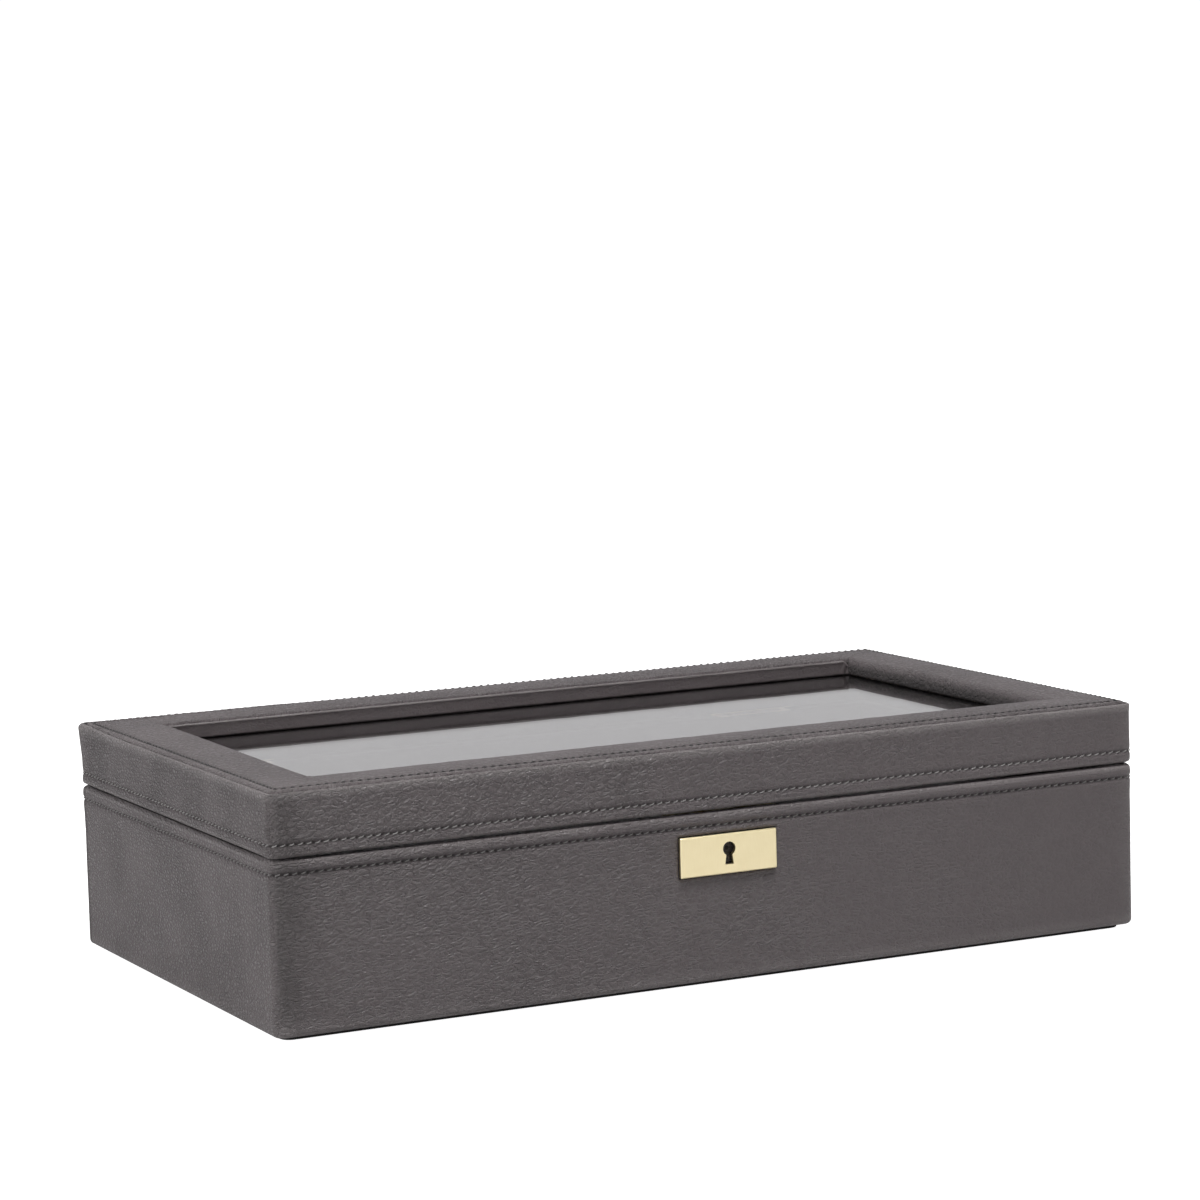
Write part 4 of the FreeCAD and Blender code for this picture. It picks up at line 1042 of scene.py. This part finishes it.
cells = [(-2 + i) * 64.72 for i in range(5)]
ci = 0
for row, sy in (("front", -1), ("rear", 1)):
    for i in range(5):
        ci += 1
        name = "watch_cushion_%s_%d" % (row, i + 1)
        blo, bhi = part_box(name)
        cen = np.array((blo + bhi) / 2) * 1000.0
        c = cush_co.copy()
        if ci % 2 == 0:
            c[:, 0] *= -1
        if ci % 3 == 0:
            c[:, 1] *= -1
        flip = (ci % 2 == 0) != (ci % 3 == 0)
        # each one is stuffed and pressed a little differently
        amp = 0.55 * vnoise(c[:, 0] / 16, c[:, 1] / 18, c[:, 2] / 15, 60 + ci) + 0.22 * vnoise(c[:, 0] / 6, c[:, 1] / 7, c[:, 2] / 7, 80 + ci)
        nrm = c / (np.linalg.norm(c / LIM, axis=1)[:, None] * LIM[None] ** 2)
        nrm /= np.linalg.norm(nrm, axis=1)[:, None]
        c = c + nrm * amp[:, None]
        # the wrap pulls in behind the two end seams, with small gathers
        th = np.arctan2(c[:, 2], c[:, 1])
        back = np.abs(c[:, 0]) - (LIM[0] - 3.2)
        gather = np.exp(-((back + 2.2) / 2.0) ** 2) * (0.5 + 0.5 * np.cos(th * 34 + 1.7 * vnoise(th * 3, ci, 0, 5)))
        c[:, 1:] *= (1 - 0.020 * gather[:, None] - 0.020 * np.exp(-(back / 1.1) ** 2)[:, None])
        # it sits flat on the floor of its cell
        c[:, 2] = np.maximum(c[:, 2], -LIM[2] + 0.35)
        k = np.minimum(np.array([53.8, 74.8, 41.8]) / (c.max(0) - c.min(0)), 1.0)
        c = (c - (c.max(0) + c.min(0)) / 2) * k
        f = [tuple(reversed(q)) for q in cush_faces] if flip else cush_faces
        body = "cushion_%s_%d" % (row, i + 1)
        ob = mesh_object(name + "_soft", c + cen, f)
        dress(ob, M_CUSHION)
        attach(ob, body)
        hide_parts(name)
        vs, fs = [], []
        for sx in (-1, 1):
            v, ff = tube_closed(seam_ring(c, sx), 0.75)
            fs += [tuple(q + len(vs) * 0 + (0 if sx < 0 else 96 * 8) for q in quad) for quad in ff]
            vs.append(v)
        pipe = mesh_object(name + "_piping", np.concatenate(vs) + cen, fs)
        bm = bmesh.new()
        bm.from_mesh(pipe.data)
        bmesh.ops.recalc_face_normals(bm, faces=bm.faces)
        bm.to_mesh(pipe.data)
        bm.free()
        dress(pipe, M_CUSHION)
        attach(pipe, body)

# ------------------------------------------- CAD nodes that keep their shape


def bevel(ob, width, segs=2, angle=30):
    b = ob.modifiers.new("Edge", "BEVEL")
    b.width = width * MM
    b.segments = segs
    b.limit_method = "ANGLE"
    b.angle_limit = math.radians(angle)
    b.harden_normals = False


by_slot = {"board": M_BOARD, "velour": M_VELOUR, "foam": M_FOAM, "base_cloth": M_BASE, "brass": M_BRASS,
           "satin_brass": M_PLATE, "steel": M_STEEL_SHADED, "glass": M_GLASS, "leather": M_CASE,
           "cushion_velour": M_CUSHION}
for sp in frame["record"]["subparts"]:
    ob = NODES[sp["node"]]
    mat = by_slot[sp["material_slot"]]
    if "screws" in sp["node"] or sp["node"].endswith("hinge_pin"):
        mat = M_SCREW
    # the lock's edge plate and strike plate take the painted-shade brass
    if sp["node"] in ("lock_selvedge", "strike_plate"):
        mat = M_SHADOW_BRASS
    dress(ob, mat)
bevel(NODES["base_panel"], 0.3)
bevel(NODES["glass_pane"], 0.3)
bevel(NODES["lock_plate"], 0.16)
bevel(NODES["lid_lining"], 0.45)
for key in ("long_divider", "cross_divider_1", "cross_divider_2", "cross_divider_3", "cross_divider_4"):
    bevel(NODES[key], 0.7, 3)

# ------------------------------------------------------------------- stage
fl = bpy.data.meshes.new("floor")
fl.from_pydata([(-60, -60, -0.0001), (60, -60, -0.0001), (60, 60, -0.0001), (-60, 60, -0.0001)], [], [(0, 1, 2, 3)])
floor = bpy.data.objects.new("studio_floor", fl)
scene.collection.objects.link(floor)
fm = bpy.data.materials.new("studio_floor")
fm.use_nodes = True
nt = fm.node_tree
b = nt.nodes["Principled BSDF"]
b.inputs["Base Color"].default_value = (0.62, 0.62, 0.62, 1)
b.inputs["Roughness"].default_value = 0.9
b.inputs["Specular IOR Level"].default_value = 0.1
b.inputs["Emission Color"].default_value = (1, 1, 1, 1)
lp = nt.nodes.new("ShaderNodeLightPath")
mr = nt.nodes.new("ShaderNodeMapRange")
mr.inputs["To Min"].default_value = 0.0
mr.inputs["To Max"].default_value = 1.0
nt.links.new(lp.outputs["Is Camera Ray"], mr.inputs["Value"])
gl = nt.nodes.new("ShaderNodeMath")
gl.operation = "MULTIPLY"
gl.inputs[1].default_value = 0.20
nt.links.new(lp.outputs["Is Glossy Ray"], gl.inputs[0])
mx = nt.nodes.new("ShaderNodeMath")
mx.operation = "MAXIMUM"
nt.links.new(mr.outputs[0], mx.inputs[0])
nt.links.new(gl.outputs[0], mx.inputs[1])
nt.links.new(mx.outputs[0], b.inputs["Emission Strength"])
fl.materials.append(fm)
floor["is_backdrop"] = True

# a pale backdrop behind, a darker room in front
world = bpy.data.worlds.new("studio")
scene.world = world
world.use_nodes = True
nt = world.node_tree
nt.nodes.clear()
out = nt.nodes.new("ShaderNodeOutputWorld")
bg = nt.nodes.new("ShaderNodeBackground")
bgc = nt.nodes.new("ShaderNodeBackground")
mixs = nt.nodes.new("ShaderNodeMixShader")
lp = nt.nodes.new("ShaderNodeLightPath")
tc = nt.nodes.new("ShaderNodeTexCoord")
sep = nt.nodes.new("ShaderNodeSeparateXYZ")
mr = nt.nodes.new("ShaderNodeMapRange")
mr.interpolation_type = "SMOOTHSTEP"
mr.inputs["From Min"].default_value = -0.25
mr.inputs["From Max"].default_value = 0.55
mr.inputs["To Min"].default_value = 0.10
mr.inputs["To Max"].default_value = 0.72
nt.links.new(tc.outputs["Generated"], sep.inputs[0])
nt.links.new(sep.outputs[1], mr.inputs["Value"])
mz = nt.nodes.new("ShaderNodeMapRange")
mz.interpolation_type = "SMOOTHSTEP"
mz.inputs["From Min"].default_value = 0.28
mz.inputs["From Max"].default_value = 0.62
mz.inputs["To Min"].default_value = 1.0
mz.inputs["To Max"].default_value = 0.30
nt.links.new(sep.outputs[2], mz.inputs["Value"])
mul = nt.nodes.new("ShaderNodeMath")
mul.operation = "MULTIPLY"
nt.links.new(mr.outputs[0], mul.inputs[0])
nt.links.new(mz.outputs[0], mul.inputs[1])
nt.links.new(mul.outputs[0], bg.inputs["Strength"])
bg.inputs["Color"].default_value = (1.0, 0.985, 1.0, 1)
bgc.inputs["Color"].default_value = (1, 1, 1, 1)
bgc.inputs["Strength"].default_value = 1.05
nt.links.new(lp.outputs["Is Camera Ray"], mixs.inputs[0])
nt.links.new(bg.outputs[0], mixs.inputs[1])
nt.links.new(bgc.outputs[0], mixs.inputs[2])
nt.links.new(mixs.outputs[0], out.inputs[0])


def area(name, loc, target, size, power, size_y=None):
    li = bpy.data.lights.new(name, "AREA")
    li.shape = "RECTANGLE"
    li.size = size
    li.size_y = size_y or size
    li.energy = power
    ob = bpy.data.objects.new(name, li)
    scene.collection.objects.link(ob)
    ob.location = loc
    ob.rotation_mode = "QUATERNION"
    ob.rotation_quaternion = (Vector(target) - Vector(loc)).to_track_quat("-Z", "Y")
    return ob


area("softbox_top", (0.0, -0.50, 1.35), (0, 0, 0.05), 0.65, 20.0, 0.35)
area("softbox_left", (-1.1, -0.02, 0.42), (-0.05, 0.0, 0.05), 0.45, 5.0, 0.6)
area("softbox_graze", (-0.95, -0.32, 0.55), (-0.10, -0.09, 0.05), 0.22, 1.7, 0.25)
area("softbox_right", (1.3, -1.3, 1.0), (0.05, 0, 0.05), 0.6, 5.5)

cam_data = bpy.data.cameras.new("camera")
cam = bpy.data.objects.new("camera", cam_data)
scene.collection.objects.link(cam)
cam_data.sensor_width = 36.0
cam_data.lens = 114.805
cam_data.clip_start, cam_data.clip_end = 0.05, 60.0
rot = Matrix(((0.893857, 0.076393, -0.441796), (-0.447501, 0.091333, -0.889607), (-0.027609, 0.992886, 0.115825)))
cam.matrix_world = Matrix.Translation((-0.620670, -1.250711, 0.288727)) @ rot.to_4x4()
scene.camera = cam
scene.view_settings.view_transform = "Standard"
scene.view_settings.look = "None"

lo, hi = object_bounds()
